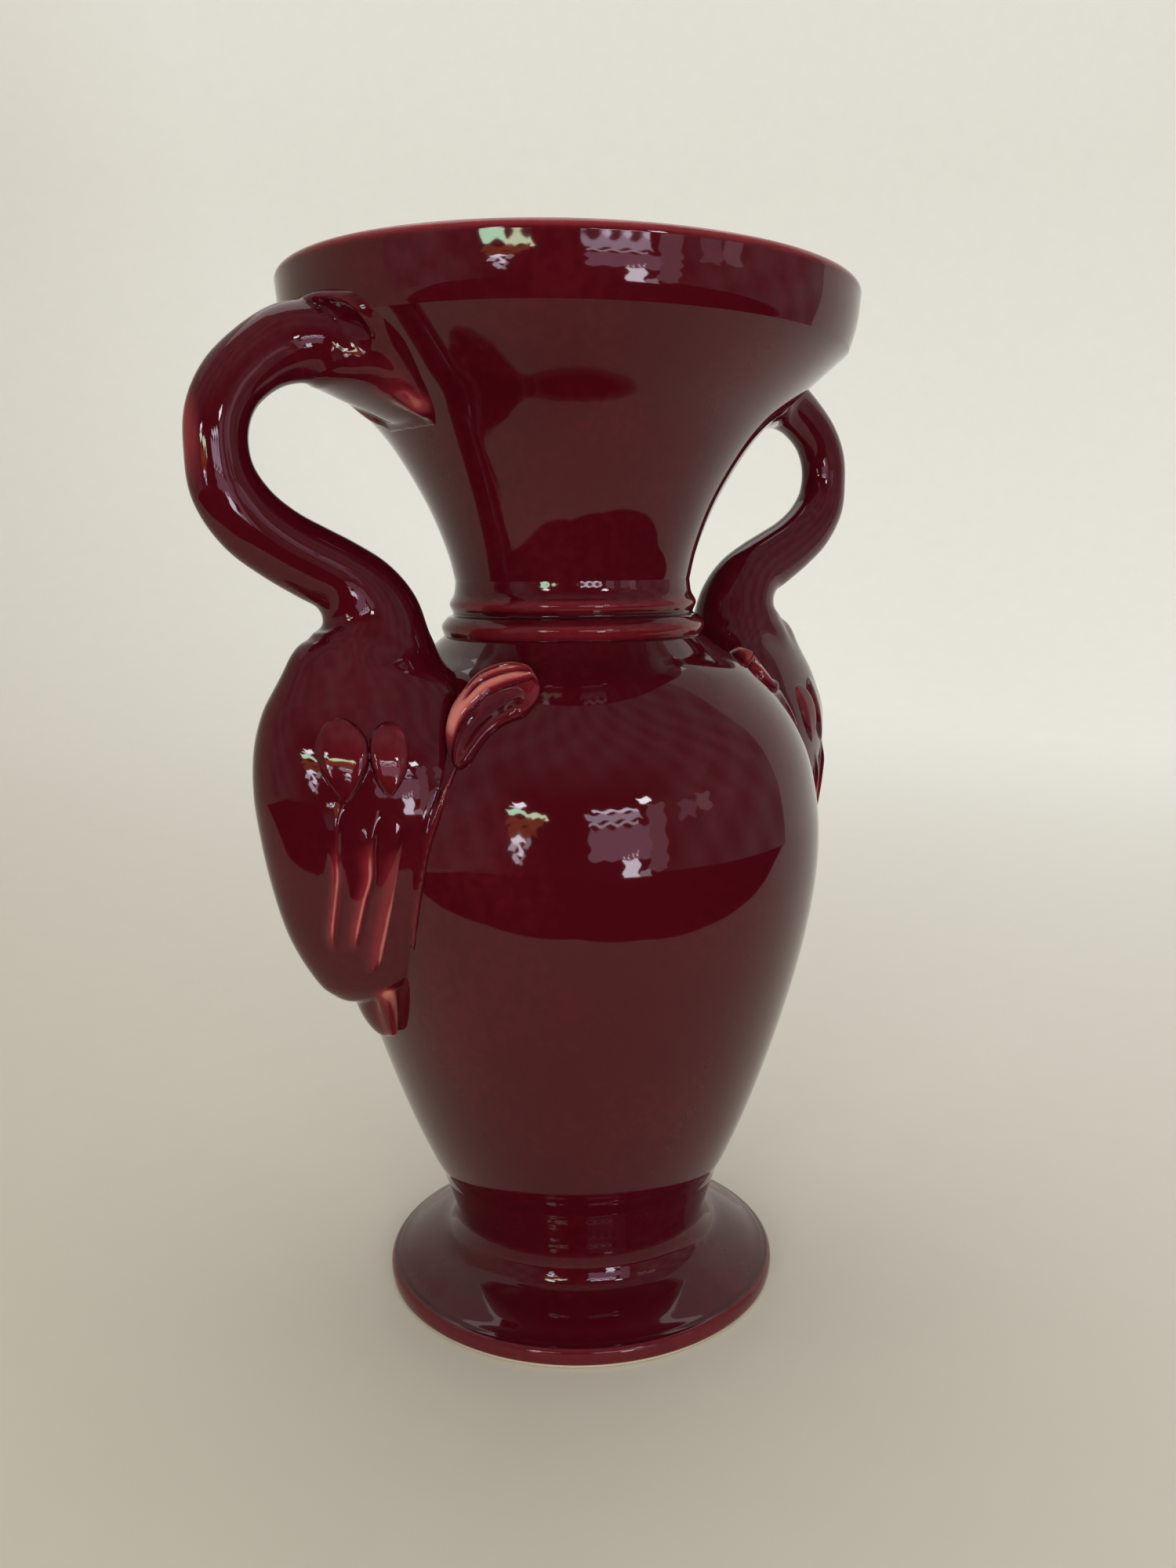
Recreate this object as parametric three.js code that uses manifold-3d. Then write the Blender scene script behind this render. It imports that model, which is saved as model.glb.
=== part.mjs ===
// Baluster vase on a spreading foot, with two swan handles between the shoulder and the rim.
// Every thrown, cast or sprigged piece of clay is a closed solid of its own.
// Millimetres, +Z up. The origin is on the table under the middle of the foot.
// The swans stand on the X axis, and the front of the vase looks along -Y.

import * as THREE from "three";
import { mergeVertices } from "three/addons/utils/BufferGeometryUtils.js";
import Module from "manifold-3d";

const wasm = await Module();
wasm.setup();

// Heights of the five thrown pieces, stacked from the table up
const footHeight = 24.6;
const bodyHeight = 146.9;
const collarHeight = 13.5;
const neckHeight = 54.5;
const rimBandHeight = 14.5;

// Outer radii
const footRadius = 51.9;
const waistRadius = 34.85;
const bellyRadius = 62.5;
const shoulderRadius = 32.6;
const beadRadius = 33.2;
const smallBeadRadius = 31.1;
const neckRadius = 29.5;
const flareRadius = 67.2;
const rimRadius = 69.8;

// Walls, edges and hollows
const wall = 5;
const footEdgeHeight = 5.3;
const footRingWidth = 5.5;
const floorThickness = 4.6;
const bellyRise = 96.9;
const grooveDepth = 1.6;
const beadHeight = 5.4;
const lipRounding = 1.9;

// The rim sank a little to one side in the kiln
const rimTilt = THREE.MathUtils.degToRad(1.72);
const tiltAzimuth = THREE.MathUtils.degToRad(-36);

// Swan handles: neck and body sizes, measured across the swan
const neckDepth = 6.8;
const neckWidth = 5.8;
const breastDepth = 27.2;
const breastWidth = 23.4;
const swanLength = 81;
const swanInset = 3.5;
const swanReach = 20.8;
const tailDepth = 6.6;
const tailWidth = 5.4;
const tailDrop = 14;
const flangeRise = 5.2;
const flangeHeight = 26;
const flangeWidth = 21;
const flangeThickness = 2;
const billRadius = 2.9;

// Sprigged relief on the swans' flanks and on the shoulder
const wingRelief = 2.6;
const featherRelief = 1.1;
const plumeLength = 30;
const plumeRelief = 3.6;

// Gap left by the thin slip between luted pieces
const lutingGap = 0.3;

// Facet counts
const turns = 40;
const swanSides = 16;
const swanRings = 38;

const waistZ = footHeight;
const bodyTop = waistZ + bodyHeight;
const neckFoot = bodyTop + collarHeight;
const bandFoot = neckFoot + neckHeight;
const rimTop = bandFoot + rimBandHeight;
const bellyZ = waistZ + bellyRise;

const v2 = (r, z) => new THREE.Vector2(r, z);

// A smooth profile through a few points, sampled evenly along its length.
function smooth(points, steps) {
  return new THREE.SplineCurve(points).getSpacedPoints(steps);
}

// The same profile moved sideways by a distance, outwards when it is positive.
function offset(points, distance) {
  return points.map((p, i) => {
    const a = points[Math.max(i - 1, 0)];
    const b = points[Math.min(i + 1, points.length - 1)];
    const along = b.clone().sub(a).normalize();
    return v2(p.x + along.y * distance, p.y - along.x * distance);
  });
}

const between = (a, b, share) => a + (b - a) * share;

// Outer profiles, each from its lower edge to its upper edge
const footOutline = [
  v2(footRadius - 1.3, 0),
  v2(footRadius - 0.2, 1.3),
  v2(footRadius, 2.9),
  v2(footRadius - 0.2, footEdgeHeight - 1),
  v2(footRadius - 0.8, footEdgeHeight - 0.25),
  v2(footRadius - 1.6, footEdgeHeight),
  ...smooth(
    [
      [0.771, 0.057],
      [0.613, 0.135],
      [0.466, 0.223],
      [0.355, 0.316],
      [0.296, 0.399],
      [0.255, 0.497],
      [0.22, 0.596],
      [0.191, 0.689],
      [0.161, 0.777],
      [0.12, 0.829],
      [0.062, 0.87],
      [0.015, 0.927],
      [0, 1],
    ].map(([across, up]) =>
      v2(
        between(waistRadius, footRadius, across),
        between(footEdgeHeight, footHeight, up),
      ),
    ),
    14,
  ),
];

const bellyOutline = smooth(
  [
    ...[
      [0, 0],
      [0, 0.0175],
      [0.031, 0.039],
      [0.099, 0.078],
      [0.197, 0.124],
      [0.41, 0.27],
      [0.66, 0.48],
      [0.863, 0.689],
      [0.975, 0.867],
      [1, 1],
    ].map(([across, up]) =>
      v2(
        between(waistRadius, bellyRadius, across),
        between(waistZ, bellyZ, up),
      ),
    ),
    ...[
      [0.966, 0.212],
      [0.885, 0.414],
      [0.715, 0.618],
      [0.417, 0.822],
      [0.166, 0.922],
      [0, 1],
    ].map(([across, up]) =>
      v2(
        between(shoulderRadius, bellyRadius, across),
        between(bellyZ, bodyTop, up),
      ),
    ),
  ],
  17,
);

const grooveZ = bodyTop + beadHeight;
const collarOutline = smooth(
  [
    v2(shoulderRadius, bodyTop),
    v2(beadRadius, bodyTop + beadHeight * 0.45),
    v2(smallBeadRadius + 0.6, grooveZ - beadHeight * 0.16),
    v2(beadRadius - grooveDepth - 1.3, grooveZ),
    v2(smallBeadRadius, grooveZ + (neckFoot - grooveZ) * 0.3),
    v2(neckRadius + 0.4, grooveZ + (neckFoot - grooveZ) * 0.62),
    v2(neckRadius, neckFoot),
  ],
  12,
);

const neckOutline = smooth(
  [
    [0, 0],
    [0.05, 0.138],
    [0.164, 0.332],
    [0.334, 0.536],
    [0.483, 0.67],
    [0.676, 0.795],
    [0.865, 0.915],
    [1, 1],
  ].map(([across, up]) =>
    v2(between(neckRadius, flareRadius, across), between(neckFoot, bandFoot, up)),
  ),
  10,
);

const bandOutline = [
  v2(flareRadius, bandFoot),
  v2(between(flareRadius, rimRadius, 0.45), bandFoot + rimBandHeight * 0.24),
  v2(between(flareRadius, rimRadius, 0.8), bandFoot + rimBandHeight * 0.52),
  v2(rimRadius, rimTop - lipRounding),
  v2(rimRadius - lipRounding * 0.3, rimTop - lipRounding * 0.3),
  v2(rimRadius - lipRounding, rimTop),
];

// The vertical shear that lowers the rim to one side, from nothing at the collar to full at the lip.
function rimShift(x, y, z) {
  const share = THREE.MathUtils.smoothstep(z, neckFoot, rimTop);
  const across = x * Math.cos(tiltAzimuth) + y * Math.sin(tiltAzimuth);
  return -Math.tan(rimTilt) * across * share;
}

function sag(geometry) {
  const p = geometry.getAttribute("position");
  for (let i = 0; i < p.count; i += 1)
    p.setZ(i, p.getZ(i) + rimShift(p.getX(i), p.getY(i), p.getZ(i)));
  return geometry;
}

// A closed geometry as a solid that can be joined and cut.
function toSolid(geometry) {
  const bare = geometry.clone();
  bare.deleteAttribute("normal");
  bare.deleteAttribute("uv");
  const merged = mergeVertices(bare, 1e-4);
  const corners = merged.index.array;
  const triVerts = [];
  for (let i = 0; i < corners.length; i += 3) {
    const [a, b, c] = [corners[i], corners[i + 1], corners[i + 2]];
    if (a !== b && b !== c && c !== a) triVerts.push(a, b, c);
  }
  const vertProperties = merged.attributes.position.array;
  const make = (list) =>
    new wasm.Manifold(
      new wasm.Mesh({
        numProp: 3,
        vertProperties,
        triVerts: new Uint32Array(list),
      }),
    );
  const solid = make(triVerts);
  return solid.volume() > 0 ? solid : make(triVerts.reverse());
}

function toGeometry(solid) {
  const mesh = solid.getMesh();
  return new THREE.BufferGeometry()
    .setAttribute("position", new THREE.BufferAttribute(mesh.vertProperties, 3))
    .setIndex(new THREE.BufferAttribute(mesh.triVerts, 1));
}

// A profile turned on the wheel: it closes on itself, or starts and ends on the axis.
function thrown(profile) {
  return toSolid(new THREE.LatheGeometry(profile, turns).rotateX(Math.PI / 2));
}

// A ring between an outer profile and an inner profile, both from the bottom up.
function ring(outer, inner) {
  return thrown([...outer, ...[...inner].reverse(), outer[0]]);
}

// Inner profile of a wall, cut off square at the piece's lower and upper edges.
function inside(outline, low, high) {
  const inner = offset(outline, -wall);
  inner[0] = v2(inner[0].x, low);
  inner[inner.length - 1] = v2(inner[inner.length - 1].x, high);
  return inner.filter((p, i) => i === 0 || p.y > inner[i - 1].y + 0.05);
}

const every = (list, step) =>
  list.filter((p, i) => i % step === 0 || i === list.length - 1);

// Foot: a spreading bell with a turned hollow under a closed top.
const ringInner = footRadius - 1.3 - footRingWidth;
const foot = thrown([
  v2(ringInner, 0),
  ...footOutline,
  v2(0, footHeight),
  v2(0, footHeight - floorThickness),
  v2(waistRadius - wall - 4, footHeight - floorThickness),
  v2(waistRadius - wall, footHeight - floorThickness - 3.2),
  v2(between(waistRadius - wall, ringInner, 0.55), footEdgeHeight * 0.95),
  v2(ringInner - 2.2, footEdgeHeight * 0.42),
  v2(ringInner, 0),
]);

// Belly shell with its own floor
const bellyInner = every(offset(bellyOutline, -wall), 2).filter(
  (p) => p.y > waistZ + floorThickness + 2 && p.y < bodyTop - wall,
);
const body = thrown([
  v2(0, waistZ),
  ...bellyOutline,
  v2(neckRadius - wall + 1.6, bodyTop),
  ...bellyInner.reverse(),
  v2(waistRadius - wall - 3, waistZ + floorThickness),
  v2(0, waistZ + floorThickness),
]);

const collar = ring(collarOutline, [
  v2(neckRadius - wall + 1.6, bodyTop),
  v2(neckRadius - wall, grooveZ),
  v2(neckRadius - wall, neckFoot),
]);

const neck = ring(neckOutline, every(inside(neckOutline, neckFoot, bandFoot), 2));
const neckBore = inside(neckOutline, neckFoot, bandFoot).at(-1).x;

const rimBand = ring(bandOutline, [
  v2(neckBore, bandFoot),
  v2(rimRadius - wall, rimTop - lipRounding),
  v2(rimRadius - wall + lipRounding * 0.5, rimTop - lipRounding * 0.15),
]);

// Everything inside the thrown wall and the slip on it, used to seat what is luted on.
const outerWall = [
  ...bellyOutline,
  ...collarOutline.slice(1),
  ...neckOutline.slice(1),
  ...bandOutline.slice(1),
];
const seat = thrown([
  v2(0, waistZ),
  ...offset(outerWall, lutingGap).map((p, i) => (i === 0 ? v2(p.x, waistZ) : p)),
  v2(0, rimTop + lutingGap),
]);

// A point on the thrown wall, at an azimuth in radians and a height.
function onWall(azimuth, z) {
  let i = 1;
  while (i < outerWall.length - 2 && outerWall[i].y < z) i += 1;
  const [a, b] = [outerWall[i - 1], outerWall[i]];
  const share = (z - a.y) / (b.y - a.y);
  const along = b.clone().sub(a).normalize();
  const radius = between(a.x, b.x, share);
  const [c, s] = [Math.cos(azimuth), Math.sin(azimuth)];
  return {
    point: new THREE.Vector3(radius * c, radius * s, z),
    normal: new THREE.Vector3(along.y * c, along.y * s, -along.x),
  };
}

// Stations up a swan standing at +X, each with its distance from the axis and its height,
// half its depth in the plane of the handle, half its width, and how much its outer edge narrows.
const station = (radius, height, depth, width, keel) => ({
  centre: new THREE.Vector3(radius, 0, height),
  girth: new THREE.Vector3(depth, width, keel),
});
const swanPlane = bellyRadius - swanInset;
const breast = (down, deep, broad, lean = 0, keel = 0.3) =>
  station(
    swanPlane + breastDepth * lean,
    bodyTop - swanLength * down,
    breastDepth * deep,
    breastWidth * broad,
    keel,
  );
const arch = (out, down, deep = 1, broad = 1) =>
  station(
    rimRadius + swanReach * out,
    bandFoot - neckHeight * down,
    neckDepth * deep,
    neckWidth * broad,
    0,
  );
const swanStations = [
  breast(1, 0.02, 0.02, -0.074),
  breast(0.991, 0.31, 0.34, -0.055),
  breast(0.967, 0.485, 0.47, -0.037),
  breast(0.914, 0.61, 0.58, -0.018),
  breast(0.821, 0.74, 0.73),
  breast(0.698, 0.842, 0.88, 0.018),
  breast(0.562, 0.93, 0.98, 0.018),
  breast(0.426, 1, 1.02),
  breast(0.29, 1, 0.96, -0.018),
  breast(0.167, 0.908, 0.77, -0.037),
  breast(0.068, 0.735, 0.6, -0.048),
  breast(-0.012, 0.544, 0.449, -0.074, 0.1),
  breast(-0.08, 0.456, 0.376, -0.059, 0),
  breast(-0.14, 0.375, 0.333, 0.037, 0),
  arch(-0.255, 0.967, 1.26, 1.2),
  arch(0.01, 0.903, 1.13, 1.1),
  arch(0.361, 0.831, 1.07, 1.05),
  arch(0.683, 0.743, 1.06, 1.03),
  arch(0.904, 0.633, 1.03, 1.02),
  arch(1, 0.505),
  arch(0.971, 0.376),
  arch(0.808, 0.259),
  arch(0.514, 0.167),
  arch(0.202, 0.112, 1.06, 1.12),
  arch(-0.087, 0.095, 1.2, 1.31),
  arch(-0.375, 0.132, 1.22, 1.66),
  arch(-0.639, 0.193, 0.97, 2.07),
  arch(-0.904, 0.257, 0.7, 2.34),
  arch(-1.12, 0.312, 0.47, 2.4),
  arch(-1.264, 0.352, 0.15, 1.55),
];

// The skin of a loft through stations, as functions of the share along it and the angle round it.
function loftSkin(stations) {
  const path = new THREE.CatmullRomCurve3(
    stations.map((s) => s.centre),
    false,
    "catmullrom",
  );
  const girth = new THREE.CatmullRomCurve3(
    stations.map((s) => s.girth),
    false,
    "catmullrom",
  );
  const across = new THREE.Vector3(0, 1, 0);
  return (share, angle, grow = 0) => {
    const centre = path.getPoint(share);
    const size = girth.getPoint(share);
    const out = across.clone().cross(path.getTangent(share)).normalize();
    const depth = (Math.max(size.x, 0.1) + grow) * Math.cos(angle);
    const width =
      (Math.max(size.y, 0.1) + grow) *
      Math.sin(angle) *
      (1 - size.z * Math.cos(angle));
    return centre.addScaledVector(out, depth).addScaledVector(across, width);
  };
}

// A closed tube over a skin, rings of points joined by quads, with a fan at each end.
function tube(skin, sides, rings, grow = 0) {
  const positions = [];
  const faces = [];
  for (let i = 0; i <= rings; i += 1)
    for (let j = 0; j < sides; j += 1)
      positions.push(...skin(i / rings, (j / sides) * 2 * Math.PI, grow));
  for (let i = 0; i < rings; i += 1)
    for (let j = 0; j < sides; j += 1) {
      const [a, b] = [i * sides + j, i * sides + ((j + 1) % sides)];
      faces.push(a, b, b + sides, a, b + sides, a + sides);
    }
  for (const [ringIndex, turn] of [
    [0, 1],
    [rings, 0],
  ]) {
    const first = ringIndex * sides;
    const middle = new THREE.Vector3();
    for (let j = 0; j < sides; j += 1)
      middle.add(new THREE.Vector3().fromArray(positions, (first + j) * 3));
    positions.push(...middle.divideScalar(sides));
    const hub = positions.length / 3 - 1;
    for (let j = 0; j < sides; j += 1) {
      const [a, b] = [first + j, first + ((j + 1) % sides)];
      faces.push(hub, turn ? b : a, turn ? a : b);
    }
  }
  return toSolid(
    new THREE.BufferGeometry()
      .setAttribute("position", new THREE.Float32BufferAttribute(positions, 3))
      .setIndex(faces),
  );
}

// A sprig: a thin piece of relief pressed on a surface. The surface gives a point and a normal
// for two shares, and the relief gives the thickness there.
function sprig(surface, relief, low, steps, rows) {
  const positions = [];
  const faces = [];
  const count = (steps + 1) * (rows + 1);
  for (const top of [false, true])
    for (let i = 0; i <= steps; i += 1)
      for (let j = 0; j <= rows; j += 1) {
        const [s, t] = [i / steps, (j / rows) * 2 - 1];
        const { point, normal } = surface(s, t);
        const lift = top ? lutingGap + relief(s, t) : low;
        positions.push(...point.addScaledVector(normal, lift));
      }
  const quad = (a, b, c, d) => faces.push(a, b, c, a, c, d);
  const at = (i, j) => i * (rows + 1) + j;
  for (let i = 0; i < steps; i += 1)
    for (let j = 0; j < rows; j += 1) {
      quad(at(i, j), at(i, j + 1), at(i + 1, j + 1), at(i + 1, j));
      quad(
        count + at(i, j),
        count + at(i + 1, j),
        count + at(i + 1, j + 1),
        count + at(i, j + 1),
      );
    }
  const edge = [];
  for (let i = 0; i < steps; i += 1) edge.push(at(i, 0));
  for (let j = 0; j < rows; j += 1) edge.push(at(steps, j));
  for (let i = steps; i > 0; i -= 1) edge.push(at(i, rows));
  for (let j = rows; j > 0; j -= 1) edge.push(at(0, j));
  edge.forEach((a, k) => {
    const b = edge[(k + 1) % edge.length];
    quad(a, b, count + b, count + a);
  });
  return toSolid(
    new THREE.BufferGeometry()
      .setAttribute("position", new THREE.Float32BufferAttribute(positions, 3))
      .setIndex(faces),
  );
}

const swanSkin = loftSkin(swanStations);

// Short round tail pressed against the belly, below the swan's body
const tail = (drop, lean, deep, broad) =>
  station(
    swanPlane + tailDepth * lean,
    bodyTop - swanLength - tailDrop * drop,
    tailDepth * deep,
    tailWidth * broad,
    0,
  );
const tailSkin = loftSkin([
  tail(-0.8, 0.15, 1.06, 1.1),
  tail(-0.3, 0.22, 1, 1.1),
  tail(0.3, 0.15, 0.79, 1),
  tail(0.7, -0.09, 0.64, 0.9),
  tail(0.95, -0.36, 0.39, 0.6),
  tail(1, -0.48, 0.04, 0.05),
]);

// The head spreads into a flange on the flare, rounded at the top and narrower at the bill.
const flangeShare = new THREE.SplineCurve([
  v2(0, 0.25),
  v2(0.07, 0.8),
  v2(0.28, 1.06),
  v2(0.59, 0.8),
  v2(0.85, 0.62),
  v2(1, 0.5),
]);
const flangeSurface = (s, t) => {
  const place = flangeShare.getPoint(s);
  const z = bandFoot + flangeRise - flangeHeight * place.x;
  const radius = onWall(0, z).point.x;
  return onWall((t * flangeWidth * place.y) / radius, z);
};
const flangeRelief = (s, t) =>
  flangeThickness * (0.3 + 0.7 * Math.sin(Math.PI * Math.abs(t)));

// A raised bill line on each side of the head
const billSkin = (side) => {
  const line = [
    [-0.264, 0.83, 0.092, 0.75],
    [-0.553, 1.41, 0.191, 1],
    [-0.841, 1.93, 0.275, 1],
    [-1.058, 2.22, 0.349, 0.85],
    [-1.144, 2.31, 0.378, 0.2],
  ];
  const path = new THREE.CatmullRomCurve3(
    line.map(
      ([out, aside, down]) =>
        new THREE.Vector3(
          rimRadius + swanReach * out,
          neckWidth * aside * side,
          bandFoot - neckHeight * down,
        ),
    ),
  );
  return (share, angle) => {
    const along = path.getTangent(share);
    const up = new THREE.Vector3(0, 0, 1).projectOnPlane(along).normalize();
    const out = along.clone().cross(up);
    const thick = line[Math.min(Math.round(share * 4), 4)][3] * billRadius;
    return path
      .getPoint(share)
      .addScaledVector(up, thick * Math.cos(angle))
      .addScaledVector(out, thick * Math.sin(angle));
  };
};

// One swan at +X, cut back to its seat on the vase
const swan = tube(swanSkin, swanSides, swanRings)
  .add(tube(tailSkin, 10, 6))
  .add(sprig(flangeSurface, flangeRelief, -1.5, 8, 8))
  .add(tube(billSkin(1), 6, 5))
  .add(tube(billSkin(-1), 6, 5))
  .subtract(seat);
const swanSeat = tube(swanSkin, swanSides, swanRings, lutingGap);

// Wing: two scalloped lobes over three long feathers, down the flank of the swan.
const wingTopShare = 8.95 / (swanStations.length - 1);
const wingEndShare = 2.55 / (swanStations.length - 1);
const wingSurface = (side) => (s, t) => {
  const share = between(wingTopShare, wingEndShare, s);
  const spread = between(27, 24, s) * Math.sqrt(Math.max(0.1, 1 - (2 * s - 1) ** 6));
  const angle = THREE.MathUtils.degToRad(between(66, 49, s) + t * spread) * side;
  const step = 0.01;
  const point = swanSkin(share, angle);
  const along = swanSkin(share + step, angle).sub(point);
  const round = swanSkin(share, angle + step * side).sub(point);
  return { point, normal: along.cross(round).multiplyScalar(-side).normalize() };
};
const lobe = (s, t, middle, width) =>
  Math.exp(-(((s - 0.13) / 0.1) ** 2) - ((t - middle) / width) ** 2);
const feather = (t, middle) => Math.exp(-(((t - middle) / 0.16) ** 2));
const wingThickness = (s, t) => {
  const edge = (1 - t ** 6) * (1 - (2 * s - 1) ** 8);
  const lobes = lobe(s, t, -0.38, 0.3) + lobe(s, t, 0.47, 0.25);
  const feathers = feather(t, -0.3 - 0.4 * s) + feather(t, 0.2 - 0.35 * s) + feather(t, 0.72);
  const long = THREE.MathUtils.smoothstep(s, 0.25, 0.4);
  return 0.6 + edge * (0.3 + wingRelief * lobes + featherRelief * feathers * long);
};

// Plume: a crescent of feathers laid on the shoulder, from the collar down beside the swan's flank.
// Its edges run from the lower tip up, each point aside from the swan and down from the collar.
const plumeEdge = (points) => new THREE.SplineCurve(points.map(([aside, down]) => v2(aside, down)));
const plumeOuter = plumeEdge([
  [0.86, 0.9],
  [0.69, 0.67],
  [0.61, 0.5],
  [0.62, 0.33],
  [0.72, 0.21],
  [0.88, 0.18],
  [1.13, 0.26],
]);
const plumeInner = plumeEdge([
  [0.9, 0.9],
  [1, 0.77],
  [1.04, 0.67],
  [1.09, 0.6],
  [1.15, 0.52],
  [1.2, 0.43],
  [1.22, 0.35],
]);
const plumeSurface = (side) => (s, t) => {
  const place = plumeOuter.getPoint(s).lerp(plumeInner.getPoint(s), (t + 1) / 2);
  const z = bodyTop - plumeLength * place.y;
  const radius = onWall(0, z).point.x;
  return onWall((side * plumeLength * place.x) / radius, z);
};
const plumeThickness = (s, t) =>
  0.6 +
  Math.sqrt(Math.max(0, 1 - t ** 4)) *
    (1 - (2 * s - 1) ** 8) *
    (plumeRelief - 1.4 - 0.8 * t + 0.5 * Math.cos(t * Math.PI * 3));

const wings = [1, -1].map((side) => sprig(wingSurface(side), wingThickness, lutingGap, 11, 8));
const plumes = [1, -1].map((side) =>
  sprig(plumeSurface(side), plumeThickness, lutingGap, 9, 6).subtract(swanSeat),
);

const glaze = { color: 0x5a1420, roughness: 0.12, metalness: 0 };
const vase = new THREE.Group();

function place(name, solid, halfTurn = false) {
  const geometry = toGeometry(solid);
  if (halfTurn) geometry.rotateZ(Math.PI);
  const mesh = new THREE.Mesh(
    sag(geometry),
    new THREE.MeshStandardMaterial(glaze),
  );
  mesh.name = name;
  vase.add(mesh);
}

place("foot", foot);
place("body", body);
place("collar", collar);
place("neck", neck);
place("rim_band", rimBand);
place("swan_right", swan);
place("swan_left", swan, true);
place("wing_right_back", wings[0]);
place("wing_right_front", wings[1]);
place("wing_left_front", wings[0], true);
place("wing_left_back", wings[1], true);
place("plume_right_back", plumes[0]);
place("plume_right_front", plumes[1]);
place("plume_left_front", plumes[0], true);
place("plume_left_back", plumes[1], true);

export default vase;
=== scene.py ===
import math

import bmesh
import bpy
import numpy as np
from bpy.props import FloatProperty, FloatVectorProperty, IntProperty, PointerProperty
from mathutils import Matrix, Vector


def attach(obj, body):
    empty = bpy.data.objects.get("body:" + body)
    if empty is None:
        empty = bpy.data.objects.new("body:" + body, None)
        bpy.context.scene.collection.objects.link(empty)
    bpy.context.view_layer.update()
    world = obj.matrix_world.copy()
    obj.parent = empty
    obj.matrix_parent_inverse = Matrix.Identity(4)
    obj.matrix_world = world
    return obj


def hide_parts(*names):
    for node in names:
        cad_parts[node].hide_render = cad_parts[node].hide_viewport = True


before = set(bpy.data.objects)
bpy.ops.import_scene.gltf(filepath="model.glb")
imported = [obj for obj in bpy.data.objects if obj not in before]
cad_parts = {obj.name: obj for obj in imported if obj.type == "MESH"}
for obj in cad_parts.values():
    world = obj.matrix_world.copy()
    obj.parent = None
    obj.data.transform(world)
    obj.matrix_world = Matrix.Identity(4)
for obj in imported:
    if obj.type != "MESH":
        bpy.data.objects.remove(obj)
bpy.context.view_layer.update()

bl_info = {
    "name": "Swan-handled baluster vase",
    "version": (1, 0, 0),
    "blender": (4, 5, 0),
    "location": "View3D > Sidebar > Vase",
    "description": "Builds a glazed baluster vase with two swan handles and its studio",
    "category": "Object",
}

MM = 0.001


def length(name, description, default):
    return FloatProperty(name=name, description=description, default=default, unit="LENGTH")


def colour(name, description, default):
    return FloatVectorProperty(
        name=name, description=description, default=default, subtype="COLOR", size=3, min=0, max=1
    )


class ThrownSizes(bpy.types.PropertyGroup):
    """Sizes of the pieces turned on the wheel"""

    foot_height: length("Foot height", "From the table to the waist", 0.0246)
    body_height: length("Body height", "From the waist to the collar", 0.1469)
    collar_height: length("Collar height", "Height of the two beads", 0.0135)
    neck_height: length("Neck height", "From the collar to the rim band", 0.0545)
    band_height: length("Rim band height", "From the crease in the flare to the lip", 0.0145)
    foot_radius: length("Foot radius", "Widest radius of the foot", 0.0519)
    waist_radius: length("Waist radius", "Radius between foot and belly", 0.0355)
    belly_radius: length("Belly radius", "Widest radius of the belly", 0.0625)
    belly_rise: length("Belly rise", "Height of the widest place above the waist", 0.0969)
    shoulder_radius: length("Shoulder radius", "Radius where the shoulder meets the collar", 0.0326)
    bead_radius: length("Bead radius", "Radius of the lower bead", 0.0332)
    small_bead_radius: length("Small bead radius", "Radius of the upper bead", 0.0311)
    bead_height: length("Bead height", "Height of the lower bead", 0.0054)
    groove_depth: length("Groove depth", "Depth of the groove between the beads", 0.0016)
    neck_radius: length("Neck radius", "Narrowest radius of the neck", 0.0295)
    flare_radius: length("Flare radius", "Radius at the crease below the rim band", 0.0672)
    rim_radius: length("Rim radius", "Radius of the lip", 0.0698)
    wall: length("Wall", "Thickness of the cast wall", 0.005)
    floor: length("Floor", "Thickness of the floor and of the top of the foot", 0.0046)
    foot_edge: length("Foot edge", "Height of the rounded edge of the foot", 0.0053)
    foot_ring: length("Foot ring", "Width of the ring that the vase stands on", 0.0055)
    lip: length("Lip rounding", "Rounding of the lip", 0.0019)
    rim_tilt: FloatProperty(
        name="Rim tilt", description="How far the rim sank to one side in the kiln",
        default=math.radians(1.72), subtype="ANGLE",
    )
    tilt_azimuth: FloatProperty(
        name="Tilt direction", description="Direction in which the rim is lowest",
        default=math.radians(-36), subtype="ANGLE",
    )
    segments: IntProperty(name="Segments", description="Steps round the vase", default=256, min=24)


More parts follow.
